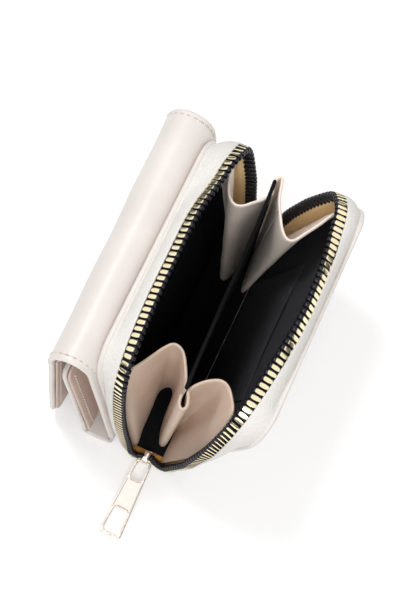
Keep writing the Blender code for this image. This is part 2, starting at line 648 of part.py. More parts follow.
def build():
    clear_scene()
    base = empty("base", (0.0, 0.0, 0.0))
    left_axis = empty("left_wall_axis", (-FLOOR_WIDTH / 2, 0.0, 0.0), LEFT_LEAN, base)
    right_axis = empty("mouth_axis", (FLOOR_WIDTH / 2, 0.0, 0.0), RIGHT_LEAN, base)
    divider_axis = empty("divider_axis", (DIVIDER_FOOT_X, 0.0, LINING_FOOT), DIVIDER_LEAN, base)
    compartment_floor(base)
    compartment_half("left", LEFT, left_axis)
    compartment_half("right", RIGHT, right_axis)
    gusset("near_gusset", NEAR_RIM_SHARES, NEAR_FOOT_SHARES, NEAR, base)
    gusset("far_gusset", FAR_RIM_SHARES, FAR_FOOT_SHARES, FAR, base)
    divider_group(divider_axis, left_axis, right_axis)
    slider_y = -COMPARTMENT_LENGTH / 2 - GAP
    slider_axis = empty("slider_axis", (SLIDER_OFFSET, slider_y, SLIDER_FLOOR_CLEARANCE), 0.0,
                        base)
    slider_body(slider_axis)
    pull_y = -SLIDER_DEPTH - (BRIDGE_REACH - BRIDGE_BAR) / 2
    pull_axis = empty("pull_axis", (0.0, pull_y, SLIDER_HEIGHT / 2), 0.0, slider_axis)
    pull_axis.rotation_euler = (PULL_DROP, 0.0, 0.0)
    pull(pull_axis)
    trifold_back(left_axis)
    bottom_fold(base)
    leaf_axis = empty("leaf_axis", (LEAF_FOOT_X, 0.0, FOLD_TOP + GAP / 2), LEAF_LEAN, base)
    leaf_group(leaf_axis)
    shoulder = -(GAP + COVER_THICKNESS + 2 * SPINE_RADIUS)
    flap_axis = empty("flap_axis", (shoulder, 0.0, SPINE_BASE_HEIGHT), FLAP_LEAN - LEFT_LEAN,
                      left_axis)
    flap_group(flap_axis)


build()
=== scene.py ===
import json
import math

import bmesh
import bpy
from mathutils import Matrix, Vector, noise


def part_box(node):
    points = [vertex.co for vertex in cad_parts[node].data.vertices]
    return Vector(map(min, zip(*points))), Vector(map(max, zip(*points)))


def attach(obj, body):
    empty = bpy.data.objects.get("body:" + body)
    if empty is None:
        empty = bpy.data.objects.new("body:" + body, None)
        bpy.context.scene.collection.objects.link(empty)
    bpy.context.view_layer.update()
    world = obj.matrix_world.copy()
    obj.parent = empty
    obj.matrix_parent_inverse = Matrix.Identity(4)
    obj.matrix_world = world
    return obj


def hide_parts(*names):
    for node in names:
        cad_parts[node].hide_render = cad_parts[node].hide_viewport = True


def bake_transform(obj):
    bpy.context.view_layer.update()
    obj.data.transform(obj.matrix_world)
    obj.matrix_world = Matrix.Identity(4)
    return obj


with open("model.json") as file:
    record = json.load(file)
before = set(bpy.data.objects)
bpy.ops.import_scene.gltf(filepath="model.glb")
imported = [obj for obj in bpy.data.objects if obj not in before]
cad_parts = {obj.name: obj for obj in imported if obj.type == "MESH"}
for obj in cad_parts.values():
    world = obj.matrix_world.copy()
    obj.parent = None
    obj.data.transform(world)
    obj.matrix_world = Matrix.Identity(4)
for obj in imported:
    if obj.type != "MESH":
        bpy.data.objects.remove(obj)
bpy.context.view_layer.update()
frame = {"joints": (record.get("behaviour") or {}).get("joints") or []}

MM = 0.001
LEFT = -1
RIGHT = 1
NEAR = -1
FAR = 1
ENDS = {"near": NEAR, "far": FAR}

# Sizes of the compartment
FLOOR_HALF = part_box("floor_strip")[1].x
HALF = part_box("floor_strip")[1].y
FLOOR_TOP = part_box("floor_lining")[1].z
WALL_HEIGHT = 86.6 * MM
CORNER = 14.0 * MM
LEANS = {LEFT: math.radians(-3.55), RIGHT: math.radians(27.3)}
WALL_FOOT = 2.1 * MM
LIP_OUT = {LEFT: 0.5 * MM, RIGHT: -0.2 * MM}
LIP_IN = 2.0 * MM
LINING_DEPTH = 2.5 * MM
LINING_INSET = 4.0 * MM
LINING_END_INSET = 1.2 * MM

# Sizes of the zip
SEAM_OFFSET = 2.8 * MM
BAND_INSET = 1.1 * MM
BAND_TUCK = 1.5 * MM
BAND_THICKNESS = 1.1 * MM
BACKING_THICKNESS = 0.5 * MM
BAND_FOOT = 4.0 * MM
BAND_FULLNESS = 0.38
FLAT_HEIGHT = 2.0 * MM
BULGE_HEIGHT = 16.0 * MM
TOOTH_PITCH = 2.77 * MM
TOOTH_LENGTH = 4.0 * MM
TOOTH_HEIGHT = 0.07 * MM
TOOTH_HALF_WIDTH = 0.92 * MM
SIDE_TOOTH_SHARE = 0.84
COIL_START = 0.1 * MM
COIL_LENGTH = 4.9 * MM
COIL_DEPTH = 2.7 * MM
COIL_FRONT = 0.3 * MM
COIL_STEP_BACK = 0.8 * MM
COIL_HALF_WIDTH = 0.94 * MM
TAPE_OVERLAP = 2.6 * MM
TAPE_REACH = 3.4 * MM
TAPE_THICKNESS = 0.5 * MM
TAPE_FLOOR_GAP = 0.8 * MM
TAPE_LEAST_OVERLAP = 0.2 * MM
SEWN_GAP = 0.05 * MM
BACKING_REACH = 1.3 * MM
JOIN_SHARE = 0.03
STRIP_STEPS = 200

# Along the run of each half, as shares of it: the width of the band in mm, and the tilt of the
# band and of the teeth out of square with the wall in degrees
BAND_WIDTHS = {
    LEFT: ((0.0, 6.4), (0.6, 6.4), (0.66, 7.0), (0.69, 8.4), (0.715, 9.5), (0.75, 10.8),
           (0.8, 11.4), (0.88, 11.0), (0.94, 8.4), (1.0, 3.5)),
    RIGHT: ((0.0, 6.4), (0.25, 6.4), (0.29, 7.2), (0.33, 7.0), (0.37, 6.4), (0.65, 6.4),
            (0.7, 7.4), (0.74, 8.2), (0.8, 9.0), (0.87, 8.2), (0.94, 5.4), (1.0, 2.0)),
}
BAND_TILTS = {
    LEFT: ((0.0, 59), (0.095, 64), (0.128, 63), (0.16, 59), (0.193, 53), (0.225, 45),
           (0.258, 34), (0.29, 20), (0.323, 20), (0.355, 30), (0.388, 36), (0.42, 40),
           (0.55, 44), (0.583, 37), (0.615, 18), (0.648, 0), (0.68, 4), (0.7, 16),
           (0.72, 25), (0.745, 20), (0.78, 11), (0.85, 4), (1.0, 0)),
    RIGHT: ((0.0, 112), (0.095, 100), (0.128, 84), (0.16, 74), (0.193, 63), (0.225, 45),
            (0.258, 20), (0.29, -2), (0.323, -6), (0.355, 14), (0.388, 28), (0.42, 40),
            (0.453, 47), (0.5, 52), (0.55, 49), (0.6, 43), (0.648, 25), (0.69, 10),
            (0.74, 14), (0.8, 12), (0.9, 8), (1.0, 0)),
}
CHAIN_TILTS = {
    LEFT: ((0.0, 34), (0.03, 26), (0.06, 15), (0.1, 10), (0.2, 2), (0.258, 8), (0.29, 22),
           (0.4, 20), (0.5, 24), (0.55, 28), (0.62, 34), (0.66, 28), (0.7, 4), (0.75, -8),
           (0.8, 0), (1.0, 0)),
    RIGHT: ((0.0, 24), (0.06, 30), (0.095, 30), (0.13, 26), (0.16, 19), (0.193, 6),
            (0.225, -4), (0.258, -10), (0.29, -14), (0.34, -12), (0.37, -6), (0.4, 2),
            (0.42, 12), (0.453, 27), (0.5, 32), (0.55, 27), (0.583, 14), (0.615, 0),
            (0.65, -14), (0.7, -18), (0.76, -6), (0.82, 0), (1.0, 0)),
}
# Where the teeth's root and the seam run on the floor, from the slider to each wall, in mm
FOOT_ROUTES = {
    LEFT: ((1.4, -60.4, 1.2), (-1.4, -61.2, 1.0), (-4.2, -60.8, 1.6), (-6.4, -60.6, 6.0)),
    RIGHT: ((3.8, -59.4, 1.2), (6.2, -60.7, 1.0), (9.0, -61.2, 1.0), (12.2, -61.2, 1.6),
            (15.2, -60.9, 4.4)),
}
SEAM_ROUTES = {
    LEFT: ((1.4, -55.2, 0.9), (-3.0, -55.3, 0.9), (-7.4, -55.3, 1.4), (-10.2, -55.0, 4.0)),
    RIGHT: ((3.8, -55.2, 0.9), (6.4, -55.3, 0.9), (8.8, -55.3, 1.2), (10.8, -55.2, 2.4),
            (12.0, -55.0, 4.6)),
}
ROUTE_STEPS = 8
# The routes end at this section of the run up the wall
ROUTE_END = 4
FOOT_STEPS = 14
FOOT_TIP = Vector((0.04, -0.1, 1.0))
FOOT_OUTER = Vector((0.0, -1.0, -0.3))


def wall_point(hand, inward, y, height):
    """A point of a wall: inward from its outer face, along the mouth, and up the wall."""
    lean = LEANS[hand]
    across = -hand * inward
    x = hand * FLOOR_HALF + across * math.cos(lean) + height * math.sin(lean)
    return Vector((x, y, height * math.cos(lean) - across * math.sin(lean)))


def joint_place(name):
    """The pivot of a joint at rest."""
    return Vector(next(joint for joint in frame["joints"] if joint["name"] == name)["pos_m"])


def leaning_point(foot, lean, across, up):
    """A point across and up a frame that leans to the right about its foot."""
    upward = Vector((math.sin(lean), 0.0, math.cos(lean)))
    side = Vector((math.cos(lean), 0.0, -math.sin(lean)))
    return foot + side * across + upward * up


def value_at(keys, share):
    """The value at a place between keys, straight from one key to the next."""
    for (low, low_value), (high, high_value) in zip(keys, keys[1:]):
        if share <= high:
            return low_value + (high_value - low_value) * (share - low) / (high - low)
    return keys[-1][1]


def rail(distance, inset):
    """Place on the wall's edge run: y, height, the outward direction in y and height."""
    side = WALL_HEIGHT - CORNER - BAND_FOOT
    radius = CORNER - inset
    bend = math.pi / 2 * radius
    top = 2 * (HALF - CORNER)
    high = WALL_HEIGHT - CORNER
    if distance <= side:
        return -HALF + inset, BAND_FOOT + distance, -1.0, 0.0
    distance -= side
    if distance <= bend:
        turn = distance / radius
        out_y, out_h = -math.cos(turn), math.sin(turn)
        return -HALF + CORNER + radius * out_y, high + radius * out_h, out_y, out_h
    distance -= bend
    if distance <= top:
        return -HALF + CORNER + distance, WALL_HEIGHT - inset, 0.0, 1.0
    distance -= top
    if distance <= bend:
        turn = distance / radius
        out_y, out_h = math.sin(turn), math.cos(turn)
        return HALF - CORNER + radius * out_y, high + radius * out_h, out_y, out_h
    distance -= bend
    return HALF - inset, high - distance, 1.0, 0.0


def rail_total(inset):
    """The length of the wall's edge run."""
    side = WALL_HEIGHT - CORNER - BAND_FOOT
    return 2 * side + math.pi * (CORNER - inset) + 2 * (HALF - CORNER)


def smooth_line(points, steps):
    """A Catmull-Rom line through points."""
    line = []
    for k in range(len(points) - 1):
        a, b, c, d = (points[max(k - 1, 0)], points[k], points[k + 1],
                      points[min(k + 2, len(points) - 1)])
        for j in range(steps):
            t = j / steps
            line.append(((b * 2) + (c - a) * t + (a * 2 - b * 5 + c * 4 - d) * t * t
                         + (b * 3 - a - c * 3 + d) * t ** 3) / 2)
    line.append(points[-1].copy())
    return line


def run_lengths(line):
    """The distance from a line's first point to each of its points."""
    lengths = [0.0]
    for a, b in zip(line, line[1:]):
        lengths.append(lengths[-1] + (b - a).length)
    return lengths


def resampled(line, count):
    """Points at even distances along a line."""
    lengths = run_lengths(line)
    result = []
    k = 0
    for j in range(count):
        wanted = lengths[-1] * j / (count - 1)
        while k < len(line) - 2 and lengths[k + 1] < wanted:
            k += 1
        span = max(lengths[k + 1] - lengths[k], 1e-9)
        result.append(line[k].lerp(line[k + 1], min(max((wanted - lengths[k]) / span, 0.0), 1.0)))
    return result


def foot_line(route, start, beyond):
    """Even points along a route on the floor to the start of the run up the wall. The next
    point beyond that start sets the direction there."""
    points = [Vector(point) * MM for point in route] + [start, beyond]
    return resampled(smooth_line(points, ROUTE_STEPS)[:-ROUTE_STEPS], FOOT_STEPS + 1)


def zip_stations(hand):
    """Sections of one zip half from the slider to the far foot: the seam, the root of the
    teeth, the direction of the teeth, the outward direction square to them and the end of
    the band that is tucked into the wall's lip."""
    total = rail_total(BAND_INSET)
    stations = []
    for k in range(STRIP_STEPS + 1):
        share = JOIN_SHARE + (1.0 - JOIN_SHARE) * k / STRIP_STEPS
        y, height, out_y, out_h = rail(share * total, BAND_INSET)
        seam = wall_point(hand, SEAM_OFFSET, y, height)
        inward = (wall_point(hand, SEAM_OFFSET + MM, y, height) - seam).normalized()
        out = wall_point(hand, SEAM_OFFSET, y + out_y * MM, height + out_h * MM) - seam
        out.normalize()
        band = math.radians(value_at(BAND_TILTS[hand], share))
        chain = math.radians(value_at(CHAIN_TILTS[hand], share))
        width = value_at(BAND_WIDTHS[hand], share) * MM
        root = seam + (inward * math.cos(band) + out * math.sin(band)) * width
        tip = inward * math.cos(chain) + out * math.sin(chain)
        outer = out * math.cos(chain) - inward * math.sin(chain)
        stations.append([seam, root, tip, outer, seam - inward * BAND_TUCK])
    first = stations[0]
    root_line = foot_line(FOOT_ROUTES[hand], first[1], stations[ROUTE_END][1])
    seam_line = foot_line(SEAM_ROUTES[hand], first[0], stations[ROUTE_END][0])
    foot = []
    for k in range(FOOT_STEPS):
        share = k / FOOT_STEPS
        eased = share * share * (3 - 2 * share)
        tip = FOOT_TIP.lerp(first[2], eased).normalized()
        outer = FOOT_OUTER.lerp(first[3], eased)
        foot.append([seam_line[k], root_line[k], tip, outer,
                     seam_line[k] + Vector((0.0, BAND_TUCK, 0.0)).lerp(first[4] - first[0], eased)])
    return smoothed_stations(foot + stations)


def smoothed_stations(stations):
    """The same sections, with the teeth's root and directions averaged over five of them."""
    smoothed = []
    for k, (seam, root, tip, outer, tuck) in enumerate(stations):
        near = stations[max(k - 2, 0):k + 3]
        if k > 0:
            root = sum((s[1] for s in near), Vector()) / len(near)
        tip = sum((s[2] for s in near), Vector()).normalized()
        outer = sum((s[3] for s in near), Vector())
        outer = (outer - tip * outer.dot(tip)).normalized()
        smoothed.append((seam, root, tip, outer, tuck))
    return smoothed


ZIP = {hand: zip_stations(hand) for hand in (LEFT, RIGHT)}


def chain_frames(hand, start, pitch, end_gap):
    """Frames at even steps along the teeth: root, tip direction, outward, run direction."""
    stations = ZIP[hand]
    lengths = run_lengths([station[1] for station in stations])
    frames = []
    wanted = start
    k = 0
    while wanted < lengths[-1] - end_gap:
        while lengths[k + 1] < wanted:
            k += 1
        part = (wanted - lengths[k]) / (lengths[k + 1] - lengths[k])
        a, b = stations[k], stations[k + 1]
        root = a[1].lerp(b[1], part)
        tip = a[2].lerp(b[2], part).normalized()
        outer = a[3].lerp(b[3], part)
        outer = (outer - tip * outer.dot(tip)).normalized()
        frames.append((root, tip, outer, tip.cross(outer)))
        wanted += pitch
    return frames


# Meshes

EDGE_STEPS = 3


def finish_mesh(name, bm, material, body, nodes=(), sharp=40.0):
    """Make the object, give it its material, and let it ride on its body, if it has one."""
    bmesh.ops.remove_doubles(bm, verts=bm.verts, dist=1e-6)
    bmesh.ops.recalc_face_normals(bm, faces=bm.faces)
    mesh = bpy.data.meshes.new(name)
    bm.to_mesh(mesh)
    bm.free()
    mesh.shade_smooth()
    if sharp:
        mesh.set_sharp_from_angle(angle=math.radians(sharp))
    mesh.materials.append(material)
    piece = bpy.data.objects.new(name, mesh)
    bpy.context.scene.collection.objects.link(piece)
    if body:
        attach(piece, body)
    if nodes:
        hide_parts(*nodes)
    return piece


def join_rings(bm, loops):
    """Bands of faces from each ring of vertices to the next."""
    count = len(loops[0])
    for first, second in zip(loops, loops[1:]):
        for k in range(count):
            after = (k + 1) % count
            bm.faces.new((first[k], first[after], second[after], second[k]))


def add_tube(bm, rings):
    """Join rings of points into one closed skin."""
    loops = [[bm.verts.new(point) for point in ring] for ring in rings]
    join_rings(bm, loops)
    bm.faces.new(list(reversed(loops[0])))
    bm.faces.new(loops[-1])


def rounded_section(half_width, half_height, radius, steps=4):
    """A closed outline of a bar with round corners, in two directions."""
    outline = []
    for sx, sy, start in ((1, 1, 0), (-1, 1, 90), (-1, -1, 180), (1, -1, 270)):
        for k in range(steps + 1):
            angle = math.radians(start + 90 * k / steps)
            outline.append((sx * (half_width - radius) + radius * math.cos(angle),
                            sy * (half_height - radius) + radius * math.sin(angle)))
    return outline


def thick_skin(bm, grid, edge):
    """A sheet of even thickness with round edges. The grid holds point, normal and half
    thickness, and the edge's radius is that half thickness."""
    rows = len(grid)
    columns = len(grid[0])

    def border(row, column):
        """Whether a point is at the sheet's edge."""
        return row in (0, rows - 1) or column in (0, columns - 1)

    def outward(row, column):
        """The direction out over the sheet's edge, square to its normal there."""
        point = grid[row][column][0]
        inner_row = min(max(row, 1), rows - 2)
        inner_column = min(max(column, 1), columns - 2)
        away = point - grid[inner_row][inner_column][0]
        normal = grid[row][column][1]
        away -= normal * away.dot(normal)
        return away.normalized()

    sides = []
    for sign in (1, -1):
        side = []
        for row in range(rows):
            line = []
            for column in range(columns):
                point, normal, half = grid[row][column]
                if border(row, column):
                    point = point - outward(row, column) * half * edge
                line.append(bm.verts.new(point + normal * half * sign))
            side.append(line)
        sides.append(side)
    for sign, side in zip((1, -1), sides):
        for row in range(rows - 1):
            for column in range(columns - 1):
                quad = (side[row][column], side[row][column + 1], side[row + 1][column + 1],
                        side[row + 1][column])
                bm.faces.new(quad if sign > 0 else tuple(reversed(quad)))
    rim = ([(0, c) for c in range(columns)] + [(r, columns - 1) for r in range(1, rows)]
           + [(rows - 1, c) for c in range(columns - 2, -1, -1)]
           + [(r, 0) for r in range(rows - 2, 0, -1)])
    loops = []
    for step in range(1, EDGE_STEPS):
        angle = math.pi * step / EDGE_STEPS - math.pi / 2
        loop = []
        for row, column in rim:
            point, normal, half = grid[row][column]
            away = outward(row, column)
            loop.append(bm.verts.new(point - away * half * edge * (1 - math.cos(angle))
                                     - normal * half * math.sin(angle)))
        loops.append(loop)
    chain = [[sides[0][r][c] for r, c in rim]] + loops + [[sides[1][r][c] for r, c in rim]]
    for first, second in zip(chain, chain[1:]):
        for k in range(len(rim)):
            after = (k + 1) % len(rim)
            bm.faces.new((first[after], first[k], second[k], second[after]))


def sheet(name, grid, material, body, nodes, edge=1.0):
    """A piece of cloth or leather, made as one thick skin."""
    bm = bmesh.new()
    thick_skin(bm, grid, edge)
    return finish_mesh(name, bm, material, body, nodes)


# Materials

def new_material(name, colour, roughness, metallic=0.0):
    """A plain material, with what is needed to add nodes to it."""
    material = bpy.data.materials.new(name)
    material.use_nodes = True
    nodes = material.node_tree.nodes
    shader = nodes["Principled BSDF"]
    shader.inputs["Base Color"].default_value = (*colour, 1.0)
    shader.inputs["Roughness"].default_value = roughness
    shader.inputs["Metallic"].default_value = metallic
    material.diffuse_color = (*colour, 1.0)
    return material, nodes, material.node_tree.links, shader


def add_texture(nodes, links, kind, **values):
    """A texture on the object's own coordinates, with some of its inputs set."""
    coordinates = nodes.new("ShaderNodeTexCoord")
    texture = nodes.new("ShaderNodeTex" + kind)
    links.new(coordinates.outputs["Object"], texture.inputs["Vector"])
    for name, value in values.items():
        texture.inputs[name.replace("_", " ")].default_value = value
    return texture


def add_math(nodes, links, operation, *values):
    """A sum of values, each of which is a socket or a plain number."""
    node = nodes.new("ShaderNodeMath")
    node.operation = operation
    for socket, value in zip(node.inputs, values):
        if isinstance(value, float):
            socket.default_value = value
        else:
            links.new(value, socket)
    return node.outputs[0]


def add_mix(nodes, links, factor, first, second):
    """A mix of two colours, each of which is a socket or a plain colour."""
    mix = nodes.new("ShaderNodeMix")
    mix.data_type = "RGBA"
    links.new(factor, mix.inputs["Factor"])
    for name, value in (("A", first), ("B", second)):
        if isinstance(value, tuple):
            mix.inputs[name].default_value = (*value, 1.0)
        else:
            links.new(value, mix.inputs[name])
    return mix.outputs["Result"]


def add_ramp(nodes, links, source, stops):
    """Colours that follow a value, from stop to stop."""
    ramp = nodes.new("ShaderNodeValToRGB")
    links.new(source, ramp.inputs["Fac"])
    elements = ramp.color_ramp.elements
    elements[0].position, elements[0].color = stops[0][0], (*stops[0][1], 1.0)
    elements[1].position, elements[1].color = stops[-1][0], (*stops[-1][1], 1.0)
    for position, colour in stops[1:-1]:
        extra = elements.new(position)
        extra.color = (*colour, 1.0)
    return ramp.outputs["Color"]


def add_bump(nodes, links, shader, height, distance, strength=1.0):
    """Give the shader fine relief from a height."""
    bump = nodes.new("ShaderNodeBump")
    bump.inputs["Distance"].default_value = distance
    bump.inputs["Strength"].default_value = strength
    links.new(height, bump.inputs["Height"])
    links.new(bump.outputs["Normal"], shader.inputs["Normal"])


def leather(name, colour, grain_scale, grain_depth, roughness=0.5, variation=0.04):
    """Dyed leather: soft cloudiness in its colour, a pebbled grain and a low sheen."""
    material, nodes, links, shader = new_material(name, colour, roughness)
    clouds = add_texture(nodes, links, "Noise", Scale=55.0, Detail=5.0)
    dark = tuple(c * (1 - variation) for c in colour)
    light = tuple(min(c * (1 + variation / 2), 1.0) for c in colour)
    links.new(add_ramp(nodes, links, clouds.outputs["Fac"], ((0.3, dark), (0.7, light))),
              shader.inputs["Base Color"])
    pebbles = add_texture(nodes, links, "Voronoi", Scale=grain_scale)
    pebbles.feature = "SMOOTH_F1"
    fine = add_texture(nodes, links, "Noise", Scale=grain_scale * 2.5, Detail=3.0)
    grain = add_math(nodes, links, "MULTIPLY_ADD", fine.outputs["Fac"], 0.5,
                     pebbles.outputs["Distance"])
    add_bump(nodes, links, shader, grain, grain_depth)
    shader.inputs["Specular IOR Level"].default_value = 0.42
    shader.inputs["Sheen Weight"].default_value = 0.06
    shader.inputs["Sheen Roughness"].default_value = 0.4
    return material


def cloth(name, colour, thread, roughness=0.9, depth=0.00012, light=2.2):
    """Woven cloth: two sets of threads that cross."""
    material, nodes, links, shader = new_material(name, colour, roughness)
    waves = []
    for direction in ("Y", "Z"):
        wave = add_texture(nodes, links, "Wave", Scale=1.0 / thread / 3.2, Distortion=1.2,
                           Detail=1.0, Detail_Scale=3.0)
        wave.bands_direction = direction
        waves.append(wave.outputs["Fac"])
    weave = add_math(nodes, links, "MULTIPLY", *waves)
    bright = tuple(min(c * light, 1.0) for c in colour)
    links.new(add_ramp(nodes, links, weave, ((0.1, colour), (0.9, bright))),
              shader.inputs["Base Color"])
    add_bump(nodes, links, shader, weave, depth)
    shader.inputs["Specular IOR Level"].default_value = 0.15
    return material


def paint_shade_near_floor(material, colour, low, high):
    """The cloth is painted a deeper, warmer colour towards its foot: painted shade with painted
    warm bounce light near the floor.
    """
    nodes, links = material.node_tree.nodes, material.node_tree.links
    target = nodes["Principled BSDF"].inputs["Base Color"]
    source = target.links[0].from_socket
    coordinates = nodes.new("ShaderNodeTexCoord")
    split = nodes.new("ShaderNodeSeparateXYZ")
    links.new(coordinates.outputs["Object"], split.inputs[0])
    span = nodes.new("ShaderNodeMapRange")
    span.inputs["From Min"].default_value = low
    span.inputs["From Max"].default_value = high
    links.new(split.outputs["Z"], span.inputs["Value"])
    links.new(add_mix(nodes, links, span.outputs["Result"], colour, source), target)


def metal(name, colour, roughness, scratch=0.00002):
    """Polished plating with a faint wear in its shine."""
    material, nodes, links, shader = new_material(name, colour, roughness, 1.0)
    wear = add_texture(nodes, links, "Noise", Scale=900.0, Detail=6.0)
    low = tuple([roughness * 0.7] * 3)
    high = tuple([roughness * 1.5] * 3)
    links.new(add_ramp(nodes, links, wear.outputs["Fac"], ((0.35, low), (0.7, high))),
              shader.inputs["Roughness"])
    add_bump(nodes, links, shader, wear.outputs["Fac"], scratch, 0.5)
    return material


def plastic(name, colour, roughness):
    """Moulded plastic, slightly mottled."""
    material, nodes, links, shader = new_material(name, colour, roughness)
    mottle = add_texture(nodes, links, "Noise", Scale=2500.0, Detail=2.0)
    bright = tuple(c * 2.2 for c in colour)
    links.new(add_ramp(nodes, links, mottle.outputs["Fac"], ((0.4, colour), (0.7, bright))),
              shader.inputs["Base Color"])
    add_bump(nodes, links, shader, mottle.outputs["Fac"], 0.00003, 0.6)
    shader.inputs["Specular IOR Level"].default_value = 0.35
    return material


COVER = leather("cover_leather", (0.80, 0.745, 0.705), 2600.0, 0.00003, 0.36)
BAND = leather("band_leather", (0.82, 0.79, 0.755), 1300.0, 0.00026, 0.5)
INNER = leather("inner_leather", (0.72, 0.56, 0.48), 1800.0, 0.00006, 0.55, 0.06)
# One gusset leather in two painted copies: the near gussets painted darker as shade, the far
# gussets painted lighter for light that the lamps do not bring into the deep end.
GUSSETS = {NEAR: leather("gusset_leather_near_painted_shade", (0.69, 0.53, 0.42), 2000.0, 0.00008, 0.55, 0.08),
           FAR: leather("gusset_leather_far_painted_light", (0.96, 0.83, 0.73), 2000.0, 0.00012, 0.5, 0.08)}
BLACK = cloth("black_cloth", (0.0012, 0.0012, 0.0015), 0.5 * MM, 0.9, 0.00015, 12.0)
# A lighter copy of the black cloth, painted light, for the right wall's lining and pocket.
PAINTED_LIT_BLACK = cloth("black_cloth_painted_lit", (0.028, 0.027, 0.03), 0.5 * MM, 0.9, 0.00025, 6.0)
TAN = cloth("tan_cloth", (0.95, 0.74, 0.42), 0.35 * MM, 0.7, 0.00004, 1.03)
# The tan backing is painted deeper orange towards the floor: painted shade and painted warm bounce
# light.
paint_shade_near_floor(TAN, (0.78, 0.40, 0.10), 4.0 * MM, 13.0 * MM)
TAPE = cloth("tape_cloth", (0.008, 0.008, 0.011), 0.5 * MM, 0.8)
COIL = plastic("coil_black", (0.004, 0.0042, 0.007), 0.3)
GOLD = metal("tooth_gold", (0.98, 0.86, 0.58), 0.15)
PLATED = metal("pull_plate", (0.98, 0.90, 0.83), 0.13, 0.00001)
THREAD = cloth("stitch_thread", (0.62, 0.54, 0.47), 0.2 * MM, 0.7, 0.00003, 1.2)
PALE_THREAD = cloth("pale_thread", (0.86, 0.78, 0.72), 0.2 * MM, 0.7, 0.00003, 1.1)
# Dark brown for the beads at the stitch ends: painted shade in the needle holes.
HOLE_SHADE = plastic("needle_hole_shade", (0.10, 0.075, 0.05), 0.8)


# Compartment

WALL_PUFF = {LEFT: 0.0, RIGHT: 0.7 * MM}
HALF_BODIES = {LEFT: "root", RIGHT: "right_half"}
# The two walls' linings are one black cloth in two painted copies: the right one painted lighter,
# the left one kept darker.
LINING_CLOTHS = {LEFT: BLACK, RIGHT: PAINTED_LIT_BLACK}
CLOTH_HALF = 0.25 * MM
HEM_HALF = 0.32 * MM
LINING_EDGE = 0.9
STRIP_END_INSET = 0.6 * MM
LINING_STRIP_END_INSET = 0.1 * MM
POCKET_TOP = 52.0 * MM
POCKET_HALF = 33.0 * MM
POCKET_BOW = 0.5 * MM
POCKET_RAISE = 0.6 * MM
RIPPLE = 0.25 * MM
FILL_SHARE = 0.92
FILL_STEPS = 7
LIP_STEPS = 8
# How much of the lip's rounding the wall's foot has
LIP_FOOT_SHARE = 0.2
SIDE_STEPS = 22
CORNER_STEPS = 16
TOP_STEPS = 30


def wall_outline(inset, foot):
    """Points round a wall's edge from its near foot over the top to its far foot."""
    radius = max(CORNER - inset, 0.5 * MM)
    side = WALL_HEIGHT - CORNER - foot
    corner_base = WALL_HEIGHT - inset - radius
    turns = [math.pi / 2 * k / CORNER_STEPS for k in range(CORNER_STEPS + 1)]
    points = []
    for k in range(SIDE_STEPS):
        points.append((-HALF + inset, foot + side * k / SIDE_STEPS))
    for turn in turns:
        points.append((-HALF + inset + radius - radius * math.cos(turn),
                       corner_base + radius * math.sin(turn)))
    for k in range(1, TOP_STEPS):
        points.append((-HALF + CORNER + 2 * (HALF - CORNER) * k / TOP_STEPS, WALL_HEIGHT - inset))
    for turn in turns:
        points.append((HALF - inset - radius + radius * math.sin(turn),
                       corner_base + radius * math.cos(turn)))
    for k in range(SIDE_STEPS):
        points.append((HALF - inset, WALL_HEIGHT - CORNER - side * (k + 1) / SIDE_STEPS))
    return points


def fill_side(bm, hand, loop, outline, inward, puff):
    """Close a wall's face with rings that run in to its middle, puffed outwards there."""
    rings = [loop]
    for step in range(1, FILL_STEPS + 1):
        share = step / FILL_STEPS
        depth = inward - puff * math.sin(share * math.pi / 2)
        ring = []
        for y, height in outline:
            ring_y = y * (1 - share * FILL_SHARE)
            ring_height = height + (WALL_HEIGHT / 2 - height) * share * FILL_SHARE
            ring.append(bm.verts.new(wall_point(hand, depth, ring_y, ring_height)))
        rings.append(ring)
    join_rings(bm, rings)
    bm.faces.new(rings[-1])


def wall(label, hand):
    """A board covered in leather, full in the middle of its outer face, with a round lip."""
    out = LIP_OUT[hand]
    half = (out + LIP_IN) / 2
    middle = (LIP_IN - out) / 2
    bm = bmesh.new()
    outlines = []
    loops = []
    for k in range(LIP_STEPS + 1):
        angle = math.pi * k / LIP_STEPS
        inward = middle - half * math.cos(angle)
        inset = half * (1 - math.sin(angle))
        outline = wall_outline(inset, WALL_FOOT + inset * LIP_FOOT_SHARE)
        outlines.append(outline)
        loops.append([bm.verts.new(wall_point(hand, inward, y, height)) for y, height in outline])
    join_rings(bm, loops)
    fill_side(bm, hand, loops[0], outlines[0], -out, WALL_PUFF[hand])
    fill_side(bm, hand, loops[-1], outlines[-1], LIP_IN, 0.0)
    finish_mesh(label + "_wall", bm, COVER, HALF_BODIES[hand], (label + "_shell",), sharp=60)


def cloth_cell(hand, inward, y, height, half):
    """Point, outward normal and half thickness of cloth that lies on a wall."""
    normal = wall_point(hand, 0, y, height) - wall_point(hand, MM, y, height)
    return wall_point(hand, inward, y, height), normal.normalized(), half


def lining(label, hand):
    """The black cloth on the inside of a wall, with the wall's round corners."""
    grid = []
    rows, columns = 26, 36
    radius = CORNER - LINING_END_INSET
    for row in range(rows + 1):
        height = FLOOR_TOP + (WALL_HEIGHT - LINING_INSET - FLOOR_TOP) * row / rows
        drop = max(height - (WALL_HEIGHT - CORNER), 0.0)
        reach = HALF - LINING_END_INSET
        if drop > 0:
            reach += math.sqrt(max(radius * radius - min(drop, radius) ** 2, 0.0)) - radius
        line = []
        for column in range(columns + 1):
            y = reach * (2 * column / columns - 1)
            ripple = RIPPLE * noise.noise(Vector((y * 60, height * 60, hand * 3.0)))
            line.append(cloth_cell(hand, LINING_DEPTH + ripple, y, height, CLOTH_HALF))
        grid.append(line)
    sheet(label + "_cloth_lining", grid, LINING_CLOTHS[hand], HALF_BODIES[hand],
          (label + "_lining",), LINING_EDGE)


